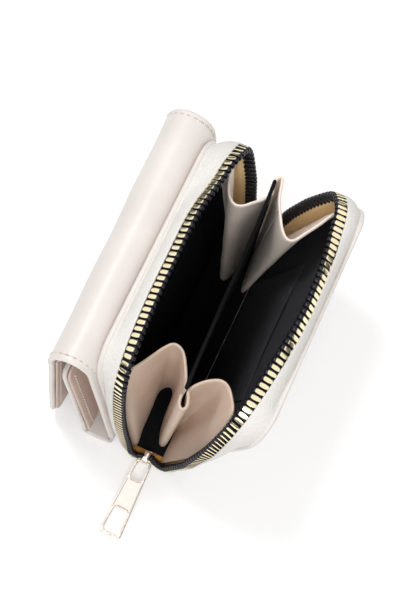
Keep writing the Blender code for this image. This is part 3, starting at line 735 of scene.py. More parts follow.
def slip_pocket(label, hand):
    """The open pocket on a wall's lining, which stands off a little at its hemmed top."""
    grid = []
    rows, columns = 12, 24
    for row in range(rows + 1):
        share = row / rows
        height = FLOOR_TOP + (POCKET_TOP - FLOOR_TOP) * share
        line = []
        for column in range(columns + 1):
            y = POCKET_HALF * (2 * column / columns - 1)
            bow = POCKET_BOW * share * math.cos(y / POCKET_HALF * math.pi / 2) ** 2
            half = CLOTH_HALF if row < rows - 1 else HEM_HALF
            line.append(cloth_cell(hand, LINING_DEPTH + POCKET_RAISE + bow, y, height, half))
        grid.append(line)
    sheet(label + "_slip_pocket_cloth", grid, LINING_CLOTHS[hand], HALF_BODIES[hand],
          (label + "_slip_pocket",), LINING_EDGE)


def floor_pieces():
    """The leather strip that the holder stands on, and the black cloth on it."""
    for name, node, material, reach in (
            ("base_strip", "floor_strip", COVER, HALF - STRIP_END_INSET),
            ("base_lining", "floor_lining", BLACK, HALF - LINING_STRIP_END_INSET)):
        low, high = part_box(node)
        middle, half = (low.z + high.z) / 2, (high.z - low.z) / 2
        up = Vector((0, 0, 1))
        columns = [low.x + (high.x - low.x) * column / 8 for column in range(9)]
        rows = [reach * (row / 12 - 1) for row in range(25)]
        grid = [[(Vector((x, y, middle)), up, half) for x in columns] for y in rows]
        sheet(name, grid, material, "root", (node,))


# Zip

def band_section(seam, root, tip, steps):
    """Points from the seam to the teeth's root, bulged outwards, with their directions. Near
    the floor the band lies flat."""
    chord = root - seam
    length = chord.length
    chord.normalize()
    bulge = min(max((root.z - FLAT_HEIGHT) / (BULGE_HEIGHT - FLAT_HEIGHT), 0.0), 1.0)
    start = (chord * (2 * chord.dot(tip)) - tip).normalized()
    start = chord.lerp(start, bulge)
    finish = chord.lerp(tip, bulge)
    b = seam + start * length * BAND_FULLNESS
    c = root - finish * length * BAND_FULLNESS
    points = []
    for k in range(steps + 1):
        t = k / steps
        point = (seam * (1 - t) ** 3 + b * 3 * t * (1 - t) ** 2 + c * 3 * t * t * (1 - t)
                 + root * t ** 3)
        direction = (b - seam) * (1 - t) ** 2 + (c - b) * 2 * t * (1 - t) + (root - c) * t * t
        points.append((point, direction.normalized()))
    return points


def zip_ride(piece, hand):
    """Bake the piece's place into its mesh; both halves are treated the same."""
    if hand == LEFT:
        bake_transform(piece)
    else:
        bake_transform(piece)


def band_and_backing(label, hand):
    """The leather band with its turned edge, and the tan cloth on its inner side."""
    steps = 10
    grids = {"band": [], "backing": []}
    stations = ZIP[hand]
    for k, (seam, root, tip, _, tuck) in enumerate(stations):
        ahead = stations[min(k + 1, len(stations) - 1)]
        behind = stations[max(k - 1, 0)]
        run = ((ahead[0] + ahead[1]) - (behind[0] + behind[1])).normalized()
        section = [(tuck, (seam - tuck).normalized())] + band_section(seam, root, tip, steps)
        section.append((root + tip * BACKING_REACH, tip))
        lines = {"band": [], "backing": []}
        for j, (point, direction) in enumerate(section):
            normal = run.cross(direction).normalized() * hand
            if j <= steps + 1:
                lines["band"].append((point, normal, BAND_THICKNESS / 2))
            depth = (BAND_THICKNESS + BACKING_THICKNESS) / 2 + SEWN_GAP
            if j > 7:
                depth += TAPE_THICKNESS + 2 * SEWN_GAP
            if j > 1:
                lines["backing"].append((point - normal * depth, normal, BACKING_THICKNESS / 2))
        for key in grids:
            grids[key].append(lines[key])
    for key, material, name, node in (
            ("band", BAND, "_band_leather", "_zip_band"),
            ("backing", TAN, "_backing_cloth", "_band_backing")):
        piece = sheet(label + name, grids[key], material, None, (label + node,))
        zip_ride(piece, hand)


TOOTH_SHAPE = ((0.0, 0.62, 0.2), (0.03, 0.8, 0.9), (0.25, 0.86, 1.0), (0.34, 1.0, 1.0),
               (0.6, 1.0, 1.0), (0.8, 0.94, 1.0), (0.95, 0.84, 0.7), (1.0, 0.62, 0.1))
TOOTH_SECTION = ((-1.0, -0.6), (-1.0, 0.5), (-0.86, 1.0), (0.0, 1.15), (0.86, 1.0),
                 (1.0, 0.5), (1.0, -0.6))
LOOP_OUTLINE = ((0.0, 0.0), (0.6, 0.0), (0.88, 0.05), (1.0, 0.28), (1.0, 0.62), (0.9, 0.9),
                (0.55, 1.0), (0.0, 1.0))
LOOP_SECTION = ((-1.0, 0.55), (-0.84, 0.2), (-0.45, 0.04), (0.0, 0.0), (0.45, 0.04),
                (0.84, 0.2), (1.0, 0.55))
# The loops at the slider lie close, all of one size
FOOT_LOOPS = 7
FOOT_TRIM = 0.55 * MM
# How much a loop between two teeth is less deep, shorter and narrower
BETWEEN_DEPTH_CUT = 0.6 * MM
BETWEEN_LENGTH_CUT = 1.0 * MM
BETWEEN_WIDTH_SHARE = 0.7
LOOP_ROUNDING = 0.3
LOOP_BACK_ROUNDING = 0.45
# The first tooth's place on each half, so that the two halves' teeth mesh
TEETH_STARTS = {LEFT: 2.4 * MM, RIGHT: 2.4 * MM + TOOTH_PITCH / 2}
TEETH_END_GAP = 5.0 * MM
LOOPS_END_GAP = 1.5 * MM


def teeth(label, hand):
    """The plated front of the zip's coil, one thin cap at a time."""
    bm = bmesh.new()
    frames = chain_frames(hand, TEETH_STARTS[hand], TOOTH_PITCH, TEETH_END_GAP)
    for root, tip, outer, along in frames:
        half_width = TOOTH_HALF_WIDTH * (SIDE_TOOTH_SHARE if abs(along.z) > 0.5 else 1.0)
        rings = []
        for share, width, height in TOOTH_SHAPE:
            centre = root + tip * (share * TOOTH_LENGTH) + outer * COIL_FRONT
            rings.append([centre + along * (side * width * half_width)
                          + outer * (up * height * TOOTH_HEIGHT) for side, up in TOOTH_SECTION])
        add_tube(bm, rings)
    piece = finish_mesh(label + "_plated_teeth", bm, GOLD, None, (label + "_zip_teeth",),
                        sharp=50)
    zip_ride(piece, hand)


def coil_loops(label, hand):
    """The black loops that carry the teeth. Every second loop is smaller and lies further
    back, between two teeth."""
    half_pitch = TOOTH_PITCH / 2
    start = TEETH_STARTS[hand]
    bm = bmesh.new()
    frames = chain_frames(hand, start % half_pitch, half_pitch, LOOPS_END_GAP)
    for index, (root, tip, outer, along) in enumerate(frames):
        between = index > FOOT_LOOPS and (index - round(start // half_pitch)) % 2
        front = COIL_FRONT
        depth_cut, length_cut, width_share = 0.0, 0.0, 1.0
        if hand == LEFT and index <= FOOT_LOOPS:
            front -= FOOT_TRIM
        if between:
            front -= COIL_STEP_BACK
            depth_cut, length_cut = BETWEEN_DEPTH_CUT, BETWEEN_LENGTH_CUT
            width_share = BETWEEN_WIDTH_SHARE
        depth = front + COIL_DEPTH - depth_cut
        half_width = COIL_HALF_WIDTH * width_share
        length = COIL_LENGTH - COIL_START - length_cut
        rings = []
        for side, inset in LOOP_SECTION:
            ring = []
            for across, back in LOOP_OUTLINE:
                across += (0.5 - across) * inset * LOOP_ROUNDING
                back += (0.5 - back) * inset * LOOP_BACK_ROUNDING
                ring.append(root + tip * (COIL_START + across * length)
                            + outer * (front - back * depth) + along * (side * half_width))
            rings.append(ring)
        add_tube(bm, rings)
    piece = finish_mesh(label + "_coil_loops", bm, COIL, None, (label + "_zip_teeth",), sharp=60)
    zip_ride(piece, hand)


def tape(label, hand):
    """The woven tape that carries the coil, sewn under the band. Near the floor it is cut
    short, so that it stays above it."""
    depth = (BAND_THICKNESS + TAPE_THICKNESS) / 2 + SEWN_GAP
    grid = []
    for _, root, tip, outer, _ in ZIP[hand][2:-8]:
        overlap = min(TAPE_OVERLAP, max(root.z - TAPE_FLOOR_GAP, TAPE_LEAST_OVERLAP))
        line = []
        for k in range(9):
            across = -overlap + (overlap + TAPE_REACH) * k / 8
            line.append((root + tip * across - outer * depth, outer, TAPE_THICKNESS / 2))
        grid.append(line)
    piece = sheet(label + "_woven_tape", grid, TAPE, None, (label + "_zip_tape",))
    zip_ride(piece, hand)


STOP_LENGTH = 3.0 * MM
STOP_HALF_WIDTH = 0.9 * MM
STOP_HALF_HEIGHT = 1.2 * MM
STOP_CORNER = 0.4 * MM
STOP_DEPTH = 0.8 * MM
STOP_SHAPE = ((0.0, 0.6), (0.08, 0.95), (0.5, 1.0), (0.92, 0.95), (1.0, 0.6))


def stops(label, hand):
    """The metal stops at both ends of the teeth."""
    frames = chain_frames(hand, 0.6 * MM, MM, 0.5 * MM)
    for name, (root, tip, outer, along) in (("near", frames[1]), ("far", frames[-4])):
        rings = []
        for share, grow in STOP_SHAPE:
            section = rounded_section(STOP_HALF_WIDTH * grow, STOP_HALF_HEIGHT * grow,
                                      STOP_CORNER * grow)
            centre = root + tip * (share * STOP_LENGTH)
            rings.append([centre + along * a + outer * (b - STOP_DEPTH) for a, b in section])
        bm = bmesh.new()
        add_tube(bm, rings)
        piece = finish_mesh(label + "_" + name + "_end_stop", bm, GOLD, None,
                            (label + "_" + name + "_stop",))
        zip_ride(piece, hand)


# Gussets and divider

DIVIDER_FOOT_X = 5.0 * MM
DIVIDER_LEAN = math.radians(7.3)
GUSSET_FOOT = 2.9 * MM
GUSSET_HEIGHT = 76.0 * MM
GUSSET_END_HEIGHT = 60.0 * MM
GUSSET_HALF = 0.5 * MM
GUSSET_ROWS = 30
PLAN_STEPS = 5
HEM_SHARE = 1.35
CREASE_DEPTH = 0.22 * MM
CREASE_SCALE = 90.0
# Plan of each gusset at its rim and at its foot, from the left wall to the right wall, in mm
RIMS = {
    NEAR: ((-13.6, -58.0), (-12.0, -54.4), (-7.2, -49.6), (-3.4, -42.2), (1.2, -34.2),
           (4.4, -31.4), (8.4, -33.0), (12.0, -38.6), (14.6, -43.6), (15.6, -46.4),
           (15.2, -49.8), (15.9, -52.9), (17.6, -54.3), (18.9, -52.8), (18.2, -49.8),
           (17.0, -46.4), (18.8, -43.2), (22.3, -39.9), (26.6, -37.8), (30.2, -38.9),
           (33.4, -43.0), (35.7, -48.0), (40.5, -53.4), (46.6, -58.2)),
    FAR: ((-14.4, 54.8), (-9.6, 53.2), (-6.2, 49.0), (-5.2, 42.9), (-2.6, 36.4),
          (0.8, 33.4), (4.4, 33.9), (8.0, 37.2), (12.2, 41.4), (13.0, 44.6),
          (12.2, 48.4), (12.9, 51.6), (14.4, 51.6), (15.2, 48.8), (16.8, 43.0),
          (19.4, 37.6), (22.8, 31.4), (26.2, 27.8), (29.4, 28.2), (32.6, 33.2),
          (36.2, 39.4), (39.9, 46.2), (43.6, 52.0), (47.0, 54.9)),
}
FEET = {
    NEAR: ((-8.6, -59.2), (-7.4, -56.8), (-4.1, -55.6), (-4.7, -48.0), (-5.2, -38.0),
           (-5.2, -30.2), (-2.2, -26.4), (1.0, -28.4), (2.1, -38.0), (3.4, -46.6),
           (4.4, -49.9), (5.2, -51.4), (6.3, -51.9), (7.2, -51.2), (7.6, -49.2),
           (7.8, -47.0), (8.0, -44.4), (8.3, -42.6), (8.7, -41.8), (9.1, -42.4),
           (9.3, -45.0), (9.3, -49.0), (9.3, -53.6), (9.6, -58.8)),
    FAR: ((-10.0, 55.0), (-6.2, 52.0), (-5.0, 46.0), (-4.2, 38.0), (-3.0, 31.4),
          (-1.2, 29.4), (0.8, 31.4), (2.2, 37.0), (3.6, 42.0), (4.0, 45.0),
          (4.2, 48.4), (4.9, 50.2), (5.8, 50.2), (6.4, 48.0), (6.8, 44.0),
          (7.2, 38.0), (8.0, 31.0), (9.0, 27.6), (9.9, 28.4), (10.5, 33.0),
          (10.8, 39.4), (11.0, 46.2), (11.2, 52.0), (11.4, 55.0)),
}
LOBES = {"left": (0, 10), "fold": (9, 15), "right": (15, 23)}


def gusset(label, end):
    """A pleated end wall in three pieces: a lobe on each side and the fold on the divider."""
    feet = [Vector((x, y, 0.0)) * MM for x, y in FEET[end]]
    rims = [Vector((x, y, 0.0)) * MM for x, y in RIMS[end]]
    last_index = len(rims) - 1
    for part, (first, last) in LOBES.items():
        grid = []
        for row in range(GUSSET_ROWS + 1):
            share = row / GUSSET_ROWS
            line = []
            for index, (foot, rim) in enumerate(zip(feet, rims)):
                top = GUSSET_HEIGHT if 1 < index < last_index - 1 else GUSSET_END_HEIGHT
                height = GUSSET_FOOT + (top - GUSSET_FOOT) * share
                point = foot.lerp(rim, (height - GUSSET_FOOT) / (GUSSET_HEIGHT - GUSSET_FOOT))
                line.append(point + Vector((0.0, 0.0, height)))
            line = smooth_line(line, PLAN_STEPS)
            cells = []
            for k in range(first * PLAN_STEPS, last * PLAN_STEPS + 1):
                run = line[min(k + 1, len(line) - 1)] - line[max(k - 1, 0)]
                normal = Vector((-run.y, run.x, 0.0)).normalized()
                half = GUSSET_HALF * (HEM_SHARE if row == GUSSET_ROWS else 1.0)
                crease = CREASE_DEPTH * noise.noise(line[k] * CREASE_SCALE)
                cells.append((line[k] + normal * crease, normal, half))
            grid.append(cells)
        piece = sheet(label + "_gusset_" + part, grid, GUSSETS[end], None, (label + "_gusset",))
        if part == "left":
            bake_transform(piece)
        elif part == "right":
            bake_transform(piece)
        else:
            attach(piece, "divider")


# How far the divider's top edge stands to the side, along the mouth, both in mm
DIVIDER_BOW = ((-51.0, 1.7), (-29.0, 0.8), (-7.0, 0.0), (20.0, -0.5), (49.0, -1.9))
DIVIDER_NEAR_CUT = 4.6 * MM
DIVIDER_FOLD = 0.3 * MM
DIVIDER_HALF = 0.6 * MM
DIVIDER_HEM_HALF = 0.8 * MM


def divider():
    """The middle panel: black cloth over a soft board that has bowed with the gussets."""
    low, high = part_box("divider")
    rows, columns = 22, 34
    across = leaning_point(Vector(), DIVIDER_LEAN, 1.0, 0.0)
    upward = leaning_point(Vector(), DIVIDER_LEAN, 0.0, 1.0)
    grid = []
    for row in range(rows + 1):
        share = row / rows
        up = (high.z - low.z) / math.cos(DIVIDER_LEAN) * share
        near_y = low.y + DIVIDER_NEAR_CUT * share ** 2
        line = []
        for column in range(columns + 1):
            y = near_y + (high.y - near_y) * column / columns
            bow = value_at(DIVIDER_BOW, y / MM) * MM * share
            fold = DIVIDER_FOLD * noise.noise(Vector((y * 50, up * 50, 7.0)))
            point = Vector((DIVIDER_FOOT_X, y, low.z)) + upward * up + across * (bow + fold)
            half = DIVIDER_HALF if row < rows - 1 else DIVIDER_HEM_HALF
            line.append((point, across, half))
        grid.append(line)
    sheet("divider_panel", grid, BLACK, "divider", ("divider",))


# Slider and pull

SLIDER_DEPTH = 4.6 * MM
SLIDER_PLATE = 1.1 * MM
SLIDER_PLATE_CORNER = SLIDER_PLATE * 0.42
# Half widths in mm up each plate, and how much of the slider's height each plate takes
SLIDER_SHAPE = ((0.0, 1.6), (0.05, 1.9), (0.35, 2.0), (0.7, 1.9), (0.9, 1.6), (1.0, 1.2))
BACK_PLATE_SHARE = 0.5
FRONT_PLATE_SHARE = 0.74
WEB_INSET = 0.8 * MM
# Half width, half height and corner of the web and of the bridge
WEB_SIZES = (0.8 * MM, 2.6 * MM, 0.7 * MM)
BRIDGE_SIZES = (1.15 * MM, 0.4 * MM, 0.3 * MM)
BRIDGE_DROP = 0.6 * MM
# The bridge's path in mm, along from the back and then from the front, and up from its top
BRIDGE_BACK = ((-1.0, -3.4), (-1.0, -0.6), (-2.2, 0.0))
BRIDGE_FRONT = ((-0.6, -0.4), (-1.6, -2.2), (-0.8, -4.2), (0.5, -4.6))


def slider():
    """The cast slider: two curved plates, the web between them and the bridge."""
    low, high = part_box("slider_body")
    centre_x = (low.x + high.x) / 2
    middle = (low.z + high.z) / 2
    back = high.y
    front = back - SLIDER_DEPTH
    half_plate = SLIDER_PLATE / 2
    bm = bmesh.new()
    for y, height_share in ((back - half_plate, BACK_PLATE_SHARE),
                            (front + half_plate, FRONT_PLATE_SHARE)):
        rings = []
        for share, half_width in SLIDER_SHAPE:
            z = low.z + (high.z - low.z) * share * height_share
            section = rounded_section(half_width * MM, half_plate, SLIDER_PLATE_CORNER)
            rings.append([Vector((centre_x + a, y + b, z)) for a, b in section])
        add_tube(bm, rings)
    rings = []
    section = rounded_section(*WEB_SIZES)
    for share in (0.0, 0.5, 1.0):
        y = front + WEB_INSET + (back - front - 2 * WEB_INSET) * share
        rings.append([Vector((centre_x + a, y, middle + b)) for a, b in section])
    add_tube(bm, rings)
    add_bridge(bm, centre_x, back, front, high.z - BRIDGE_DROP)
    finish_mesh("slider_casting", bm, PLATED, "slider", ("slider_body",), sharp=45)


def add_bridge(bm, centre_x, back, front, top):
    """The strap over the slider that the pull hangs on."""
    path = [Vector((centre_x, back + y * MM, top + z * MM)) for y, z in BRIDGE_BACK]
    path += [Vector((centre_x, front + y * MM, top + z * MM)) for y, z in BRIDGE_FRONT]
    path = smooth_line(path, 4)
    last = len(path) - 1
    side = Vector((1, 0, 0))
    section = rounded_section(*BRIDGE_SIZES, 3)
    rings = []
    for k, point in enumerate(path):
        run = (path[min(k + 1, last)] - path[max(k - 1, 0)]).normalized()
        up = side.cross(run).normalized()
        rings.append([point + side * a + up * b for a, b in section])
    add_tube(bm, rings)


PULL_TURN = math.radians(-1.4)
RIM_WIDTH = 0.75 * MM
RIM_HALF = 0.65 * MM
PLATE_HALF = 0.32 * MM
# The pull's far end lies on the floor, this much below its pivot
PULL_DROP = math.asin(3.7 / 36.3)
# Outlines in mm: the near and the far end, the half width at each, and the corners' radius
PULL_EDGE = (0.5, -34.5, 3.6, 5.0, 1.6)
PULL_SLOT = (-0.6, -8.5, 2.45, 2.75, 1.5)
PULL_WINDOW = (-21.9, -32.8, 3.1, 3.55, 1.6)
# The rim's section, from an outline inwards and up
PULL_RIM = ((RIM_WIDTH, PLATE_HALF), (RIM_WIDTH * 0.8, RIM_HALF - 0.1 * MM),
            (RIM_WIDTH * 0.6, RIM_HALF), (RIM_WIDTH * 0.35, RIM_HALF),
            (0.0, RIM_HALF - RIM_WIDTH * 0.4), (0.0, -PLATE_HALF))


def pull_outline(sizes, steps=8):
    """A four-cornered outline with round corners, in the pull's own plane."""
    near, far, near_half, far_half, radius = [size * MM for size in sizes]
    outline = []
    corners = ((1, near, near_half, 90, -1), (1, far, far_half, 0, 1),
               (-1, far, far_half, -90, 1), (-1, near, near_half, 180, -1))
    for side, y, half, start, inward in corners:
        for k in range(steps + 1):
            angle = math.radians(start - 90 * k / steps)
            outline.append(Vector((side * (half - radius) + radius * math.cos(angle),
                                   y + inward * radius + radius * math.sin(angle))))
    return outline


def inset_outline(outline, amount):
    """An outline moved towards its middle."""
    middle = sum(outline, Vector((0, 0))) / len(outline)
    count = len(outline)
    result = []
    for k in range(count):
        run = outline[(k + 1) % count] - outline[k - 1]
        normal = Vector((run.y, -run.x)).normalized()
        if normal.dot(middle - outline[k]) < 0:
            normal = -normal
        result.append(outline[k] + normal * amount)
    return result


def pull():
    """The pull: a flat frame with a window, a plate between, and a slot for the bridge."""
    origin = joint_place("pull_swing")
    turn = Matrix.Rotation(PULL_TURN, 4, "Z") @ Matrix.Rotation(PULL_DROP, 4, "X")
    bm = bmesh.new()
    sections = []
    for sizes, sign in ((PULL_EDGE, 1), (PULL_SLOT, -1), (PULL_WINDOW, -1)):
        outline = pull_outline(sizes)
        rings = []
        for amount, z in PULL_RIM:
            moved = inset_outline(outline, amount * sign) if amount else outline
            rings.append([bm.verts.new(origin + turn @ Vector((p.x, p.y, z))) for p in moved])
        join_rings(bm, rings)
        sections.append(rings)
    for index in (0, -1):
        edges = []
        for rings in sections:
            ring = rings[index]
            for k in range(len(ring)):
                edges.append(bm.edges.get((ring[k], ring[(k + 1) % len(ring)])))
        bmesh.ops.triangle_fill(bm, use_beauty=True, use_dissolve=False, edges=edges)
    finish_mesh("pull_frame", bm, PLATED, "pull", ("zip_pull",), sharp=30)


# Trifold card section

TRIFOLD_LENGTH = 118.0 * MM
TRIFOLD_SHIFT = 0.6 * MM
TRIFOLD_FOOT = 4.8 * MM
COVER_HALF = 1.1 * MM
# The gap between two layers of leather
LAYER_GAP = 0.3 * MM
SPINE_RADIUS = 9.6 * MM
SPINE_BASE = 77.0 * MM
SPINE_CREASES = 5
TAPER_TOP = 2.2 * MM
TAPER_FOOT = 0.5 * MM
LEAF_SHIFT = 1.2 * MM
# Panels end this far inside their cover's edge, and the pockets on them further in
PANEL_INSET = 1.6 * MM
POCKET_END_INSET = 9.0 * MM
POCKET_HALF_THICKNESS = 0.25 * MM
POCKET_STEP = 0.8 * MM
POCKET_DROP = 13.0 * MM
PANEL_COLUMNS = 48
PANEL_CROWDING = 1.3
STITCH_SPACING = 3.0 * MM
STITCH_SHARE = 0.66
STITCH_GAUGE = 0.28 * MM


def left_point(inward, height):
    """A point across the left wall's frame, in X and Z, with Y left at zero."""
    return wall_point(LEFT, inward, 0.0, height)


def near_taper(point, y):
    """How far the spine and the flap lie to the right towards their near end."""
    near = min(max(0.5 - (y - TRIFOLD_SHIFT) / TRIFOLD_LENGTH, 0.0), 1.0)
    from_back = min(max((left_point(0.0, point.z).x - point.x) / (2 * SPINE_RADIUS), 0.0), 1.0)
    high = min(max(point.z / SPINE_BASE, 0.0), 1.1)
    return near * from_back * (TAPER_TOP * high - TAPER_FOOT * (1 - high))


def tapered(points, y):
    """A line's points at one place along the trifold, moved with its taper."""
    return [Vector((p.x + near_taper(p, y), y, p.z)) for p in points]


def profile_normals(profile):
    """The direction square to a profile at each of its points."""
    last = len(profile) - 1
    result = []
    for k in range(last + 1):
        run = profile[min(k + 1, last)] - profile[max(k - 1, 0)]
        result.append(Vector((run.z, 0.0, -run.x)).normalized())
    return result


def leather_panel(name, profile, half_length, half, material, body, nodes, corner=0.0, wave=0.0,
                  taper=False, shift=0.0):
    """A panel that follows a profile in X and Z and runs along Y. The end of the profile may
    have round corners. Wave gives a slight unevenness, and shift moves it to the near end.
    The points along Y crowd towards both ends, for the corners."""
    normals = profile_normals(profile)
    lengths = run_lengths(profile)
    grid = []
    for point, normal, done in zip(profile, normals, lengths):
        left = lengths[-1] - done
        reach = half_length
        if corner and left < corner:
            reach += math.sqrt(max(corner ** 2 - (corner - left) ** 2, 0.0)) - corner
        line = []
        for column in range(PANEL_COLUMNS + 1):
            v = 2 * column / PANEL_COLUMNS - 1
            v = math.copysign(1 - (1 - abs(v)) ** PANEL_CROWDING, v)
            y = TRIFOLD_SHIFT - shift + reach * v
            uneven = wave * noise.noise(Vector((y * 45, done * 60, half * 4000)))
            shifted = Vector((point.x, y, point.z)) + normal * uneven
            if taper:
                shifted.x += near_taper(point, y)
            line.append((shifted, normal, half))
        grid.append(line)
    sheet(name, grid, material, body, nodes)


def line_between(start, end, steps):
    """Points at even steps from start to end."""
    return [start.lerp(end, k / steps) for k in range(steps + 1)]


def graded(start, end, steps):
    """Points from start to end that crowd near the end, for a round corner."""
    return [start.lerp(end, math.sin(math.pi / 2 * k / steps)) for k in range(steps + 1)]


def arch_profile(radius, start, end, steps):
    """An arc about the spine's middle, between two angles in degrees."""
    centre = left_point(-(LAYER_GAP + COVER_HALF), SPINE_BASE)
    across = (left_point(MM, 0) - left_point(0, 0)).normalized()
    up = (left_point(0, MM) - left_point(0, 0)).normalized()
    centre = centre - across * SPINE_RADIUS
    points = []
    for k in range(steps + 1):
        angle = math.radians(start + (end - start) * k / steps)
        points.append(centre + across * (radius * math.cos(angle))
                      + up * (radius * math.sin(angle)))
    return points


def stitch_row(name, points, normals, body, thread=None):
    """A row of thread stitches along a line, and dark beads at their ends that paint the shade in
    the needle's holes.
    """
    lengths = run_lengths(points)
    last = len(points) - 2

    def at(distance):
        """The point and the normal at a distance along the row."""
        k = next((k for k in range(last) if lengths[k + 1] >= distance), last)
        part = (distance - lengths[k]) / max(lengths[k + 1] - lengths[k], 1e-9)
        return points[k].lerp(points[k + 1], part), normals[k]

    starts = [(k + 0.5 - STITCH_SHARE / 2) * STITCH_SPACING
              for k in range(int(lengths[-1] / STITCH_SPACING))]
    long = STITCH_SHARE * STITCH_SPACING
    bm = bmesh.new()
    for start in starts:
        add_stitch(bm, at, start, long)
    finish_mesh(name, bm, thread or THREAD, body)
    # Dark beads at each stitch's ends, painted shade in the needle holes.
    bm = bmesh.new()
    for start in starts:
        for distance in (start, start + long):
            point, normal = at(distance)
            bead = bmesh.ops.create_icosphere(bm, subdivisions=1, radius=STITCH_GAUGE * 0.95)
            bmesh.ops.translate(bm, verts=bead["verts"],
                                vec=point - normal * STITCH_GAUGE * 0.55)
    finish_mesh(name + "_hole_shade", bm, HOLE_SHADE, body, sharp=0.0)


def add_stitch(bm, at, start, long):
    """One stitch: a slim arched capsule."""
    rings = []
    for step in range(6):
        t = step / 5
        point, normal = at(start + long * t)
        ahead, _ = at(start + long * t + 0.05 * MM)
        side = (ahead - point).normalized().cross(normal).normalized()
        lift = STITCH_GAUGE * (1.6 * math.sin(math.pi * t) - 0.75)
        size = STITCH_GAUGE * (0.75 + 0.25 * math.sin(math.pi * t))
        ring = []
        for k in range(7):
            angle = 2 * math.pi * k / 7
            ring.append(point + normal * (lift + size * math.sin(angle))
                        + side * (size * math.cos(angle)))
        rings.append(ring)
    add_tube(bm, rings)


def spine():
    """The back cover that rises from the floor and rolls over the top, and its lining."""
    foot = left_point(-(LAYER_GAP + COVER_HALF), TRIFOLD_FOOT)
    base = left_point(-(LAYER_GAP + COVER_HALF), SPINE_BASE)
    profile = line_between(foot, base, 14)[:-1] + arch_profile(SPINE_RADIUS, 0, 180, 26)
    length = TRIFOLD_LENGTH / 2
    leather_panel("spine_leather", profile, length, COVER_HALF, COVER, "root", ("spine_cover",),
                  wave=0.35 * MM, taper=True)
    steps = 48
    centre = arch_profile(0.0, 0, 0, 1)[0]
    inner = []
    for k, point in enumerate(arch_profile(SPINE_RADIUS - COVER_HALF - 0.5 * MM, 8, 172, steps)):
        crease = abs(math.sin(math.pi * SPINE_CREASES * k / steps)) * math.sin(math.pi * k / steps)
        inner.append(point + (centre - point).normalized() * (1.5 * MM * (1 - crease)))
    leather_panel("spine_inner_leather", inner, length - PANEL_INSET, LAYER_GAP, INNER, "root",
                  ("spine_lining",), wave=0.3 * MM, taper=True)
    for label, end in ENDS.items():
        arch = arch_profile(SPINE_RADIUS + COVER_HALF, 2, 178, 40)
        arch = tapered(arch, TRIFOLD_SHIFT + end * (length - 2.6 * MM))
        middle = sum(arch, Vector()) / len(arch)
        normals = [-n for n in profile_normals(arch)]
        normals = [n if n.dot(p - middle) > 0 else -n for n, p in zip(normals, arch)]
        stitch_row("spine_stitches_" + label, arch, normals, "root")


def back_panel():
    """The card panel on the back cover's inner side, with two card pockets."""
    length = TRIFOLD_LENGTH / 2 - PANEL_INSET
    start = 2 * (LAYER_GAP + COVER_HALF)
    depth = start + 0.5 * MM
    profile = line_between(left_point(-depth, SPINE_BASE), left_point(-depth, TRIFOLD_FOOT), 12)
    leather_panel("back_inner_panel", profile, length, 0.45 * MM, INNER, "root",
                  ("back_card_panel",), wave=0.15 * MM)
    for k in range(2):
        depth = start + 1.3 * MM + k * POCKET_STEP + POCKET_HALF_THICKNESS
        top = 60.0 * MM - POCKET_DROP * k
        profile = line_between(left_point(-depth, top), left_point(-depth, TRIFOLD_FOOT), 10)
        leather_panel("back_pocket_" + str(k + 1), profile, length - POCKET_END_INSET,
                      POCKET_HALF_THICKNESS, INNER, "root", ("back_card_slot_" + str(k + 1),),
                      wave=0.1 * MM)


def bottom_fold():
    """The fold under the back cover that carries the middle leaf."""
    low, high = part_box("bottom_fold")
    centre_x = (low.x + high.x) / 2
    half_width = (high.x - low.x) / 2 - MM
    rise = high.z - MM
    profile = []
    for k in range(25):
        angle = math.pi * k / 24
        profile.append(Vector((centre_x + half_width * math.cos(angle), 0.0,
                               rise - (rise - MM) * math.sin(angle) ** 0.7)))
    leather_panel("fold_leather", profile, TRIFOLD_LENGTH / 2, 0.95 * MM, COVER, "root",
                  ("bottom_fold",), wave=0.2 * MM, shift=LEAF_SHIFT)


LEAF_FOOT = joint_place("leaf_fold")
LEAF_LEAN = math.radians(-5.2)
LEAF_HEIGHT = 66.4 * MM
LEAF_CORNER = 3.0 * MM
LEAF_POCKET_FOOT = 1.4 * MM


def leaf_point(across, up):
    """A point across the leaf's frame, in X and Z."""
    return leaning_point(LEAF_FOOT, LEAF_LEAN, across, up)


def leaf():
    """The stiff middle leaf: its cover, a pocket as tall as the leaf and a lower one on it."""
    length = TRIFOLD_LENGTH / 2
    profile = graded(leaf_point(0, 0.2 * MM), leaf_point(0, LEAF_HEIGHT), 16)
    leather_panel("leaf_leather", profile, length, 0.9 * MM, COVER, "leaf", ("leaf_cover",),
                  corner=LEAF_CORNER, wave=0.3 * MM, taper=True, shift=LEAF_SHIFT)
    across = 2.0 * MM
    profile = graded(leaf_point(across, LEAF_POCKET_FOOT), leaf_point(across, LEAF_HEIGHT - MM), 16)
    leather_panel("leaf_pocket_1", profile, length - 0.8 * MM, 0.55 * MM, INNER, "leaf",
                  ("leaf_card_slot_1",), corner=LEAF_CORNER, wave=0.2 * MM, taper=True,
                  shift=LEAF_SHIFT)
    across = 2.95 * MM
    profile = line_between(leaf_point(across, LEAF_POCKET_FOOT), leaf_point(across, 47.0 * MM), 10)
    leather_panel("leaf_pocket_2", profile, length - POCKET_END_INSET, POCKET_HALF_THICKNESS,
                  INNER, "leaf", ("leaf_card_slot_2",), wave=0.1 * MM, taper=True)
    side = (leaf_point(MM, 0) - leaf_point(0, 0)).normalized()
    for label, end in ENDS.items():
        y = TRIFOLD_SHIFT - LEAF_SHIFT + end * (length - 4.2 * MM)
        points = line_between(leaf_point(2.62 * MM, 3.0 * MM), leaf_point(2.62 * MM, 61.0 * MM), 20)
        stitch_row("leaf_stitches_" + label, tapered(points, y), [side] * 21, "leaf", PALE_THREAD)


FLAP_TOP = joint_place("flap_fold")
FLAP_LEAN = math.radians(3.5)
FLAP_HEIGHT = 75.3 * MM
FLAP_CORNER = 11.0 * MM
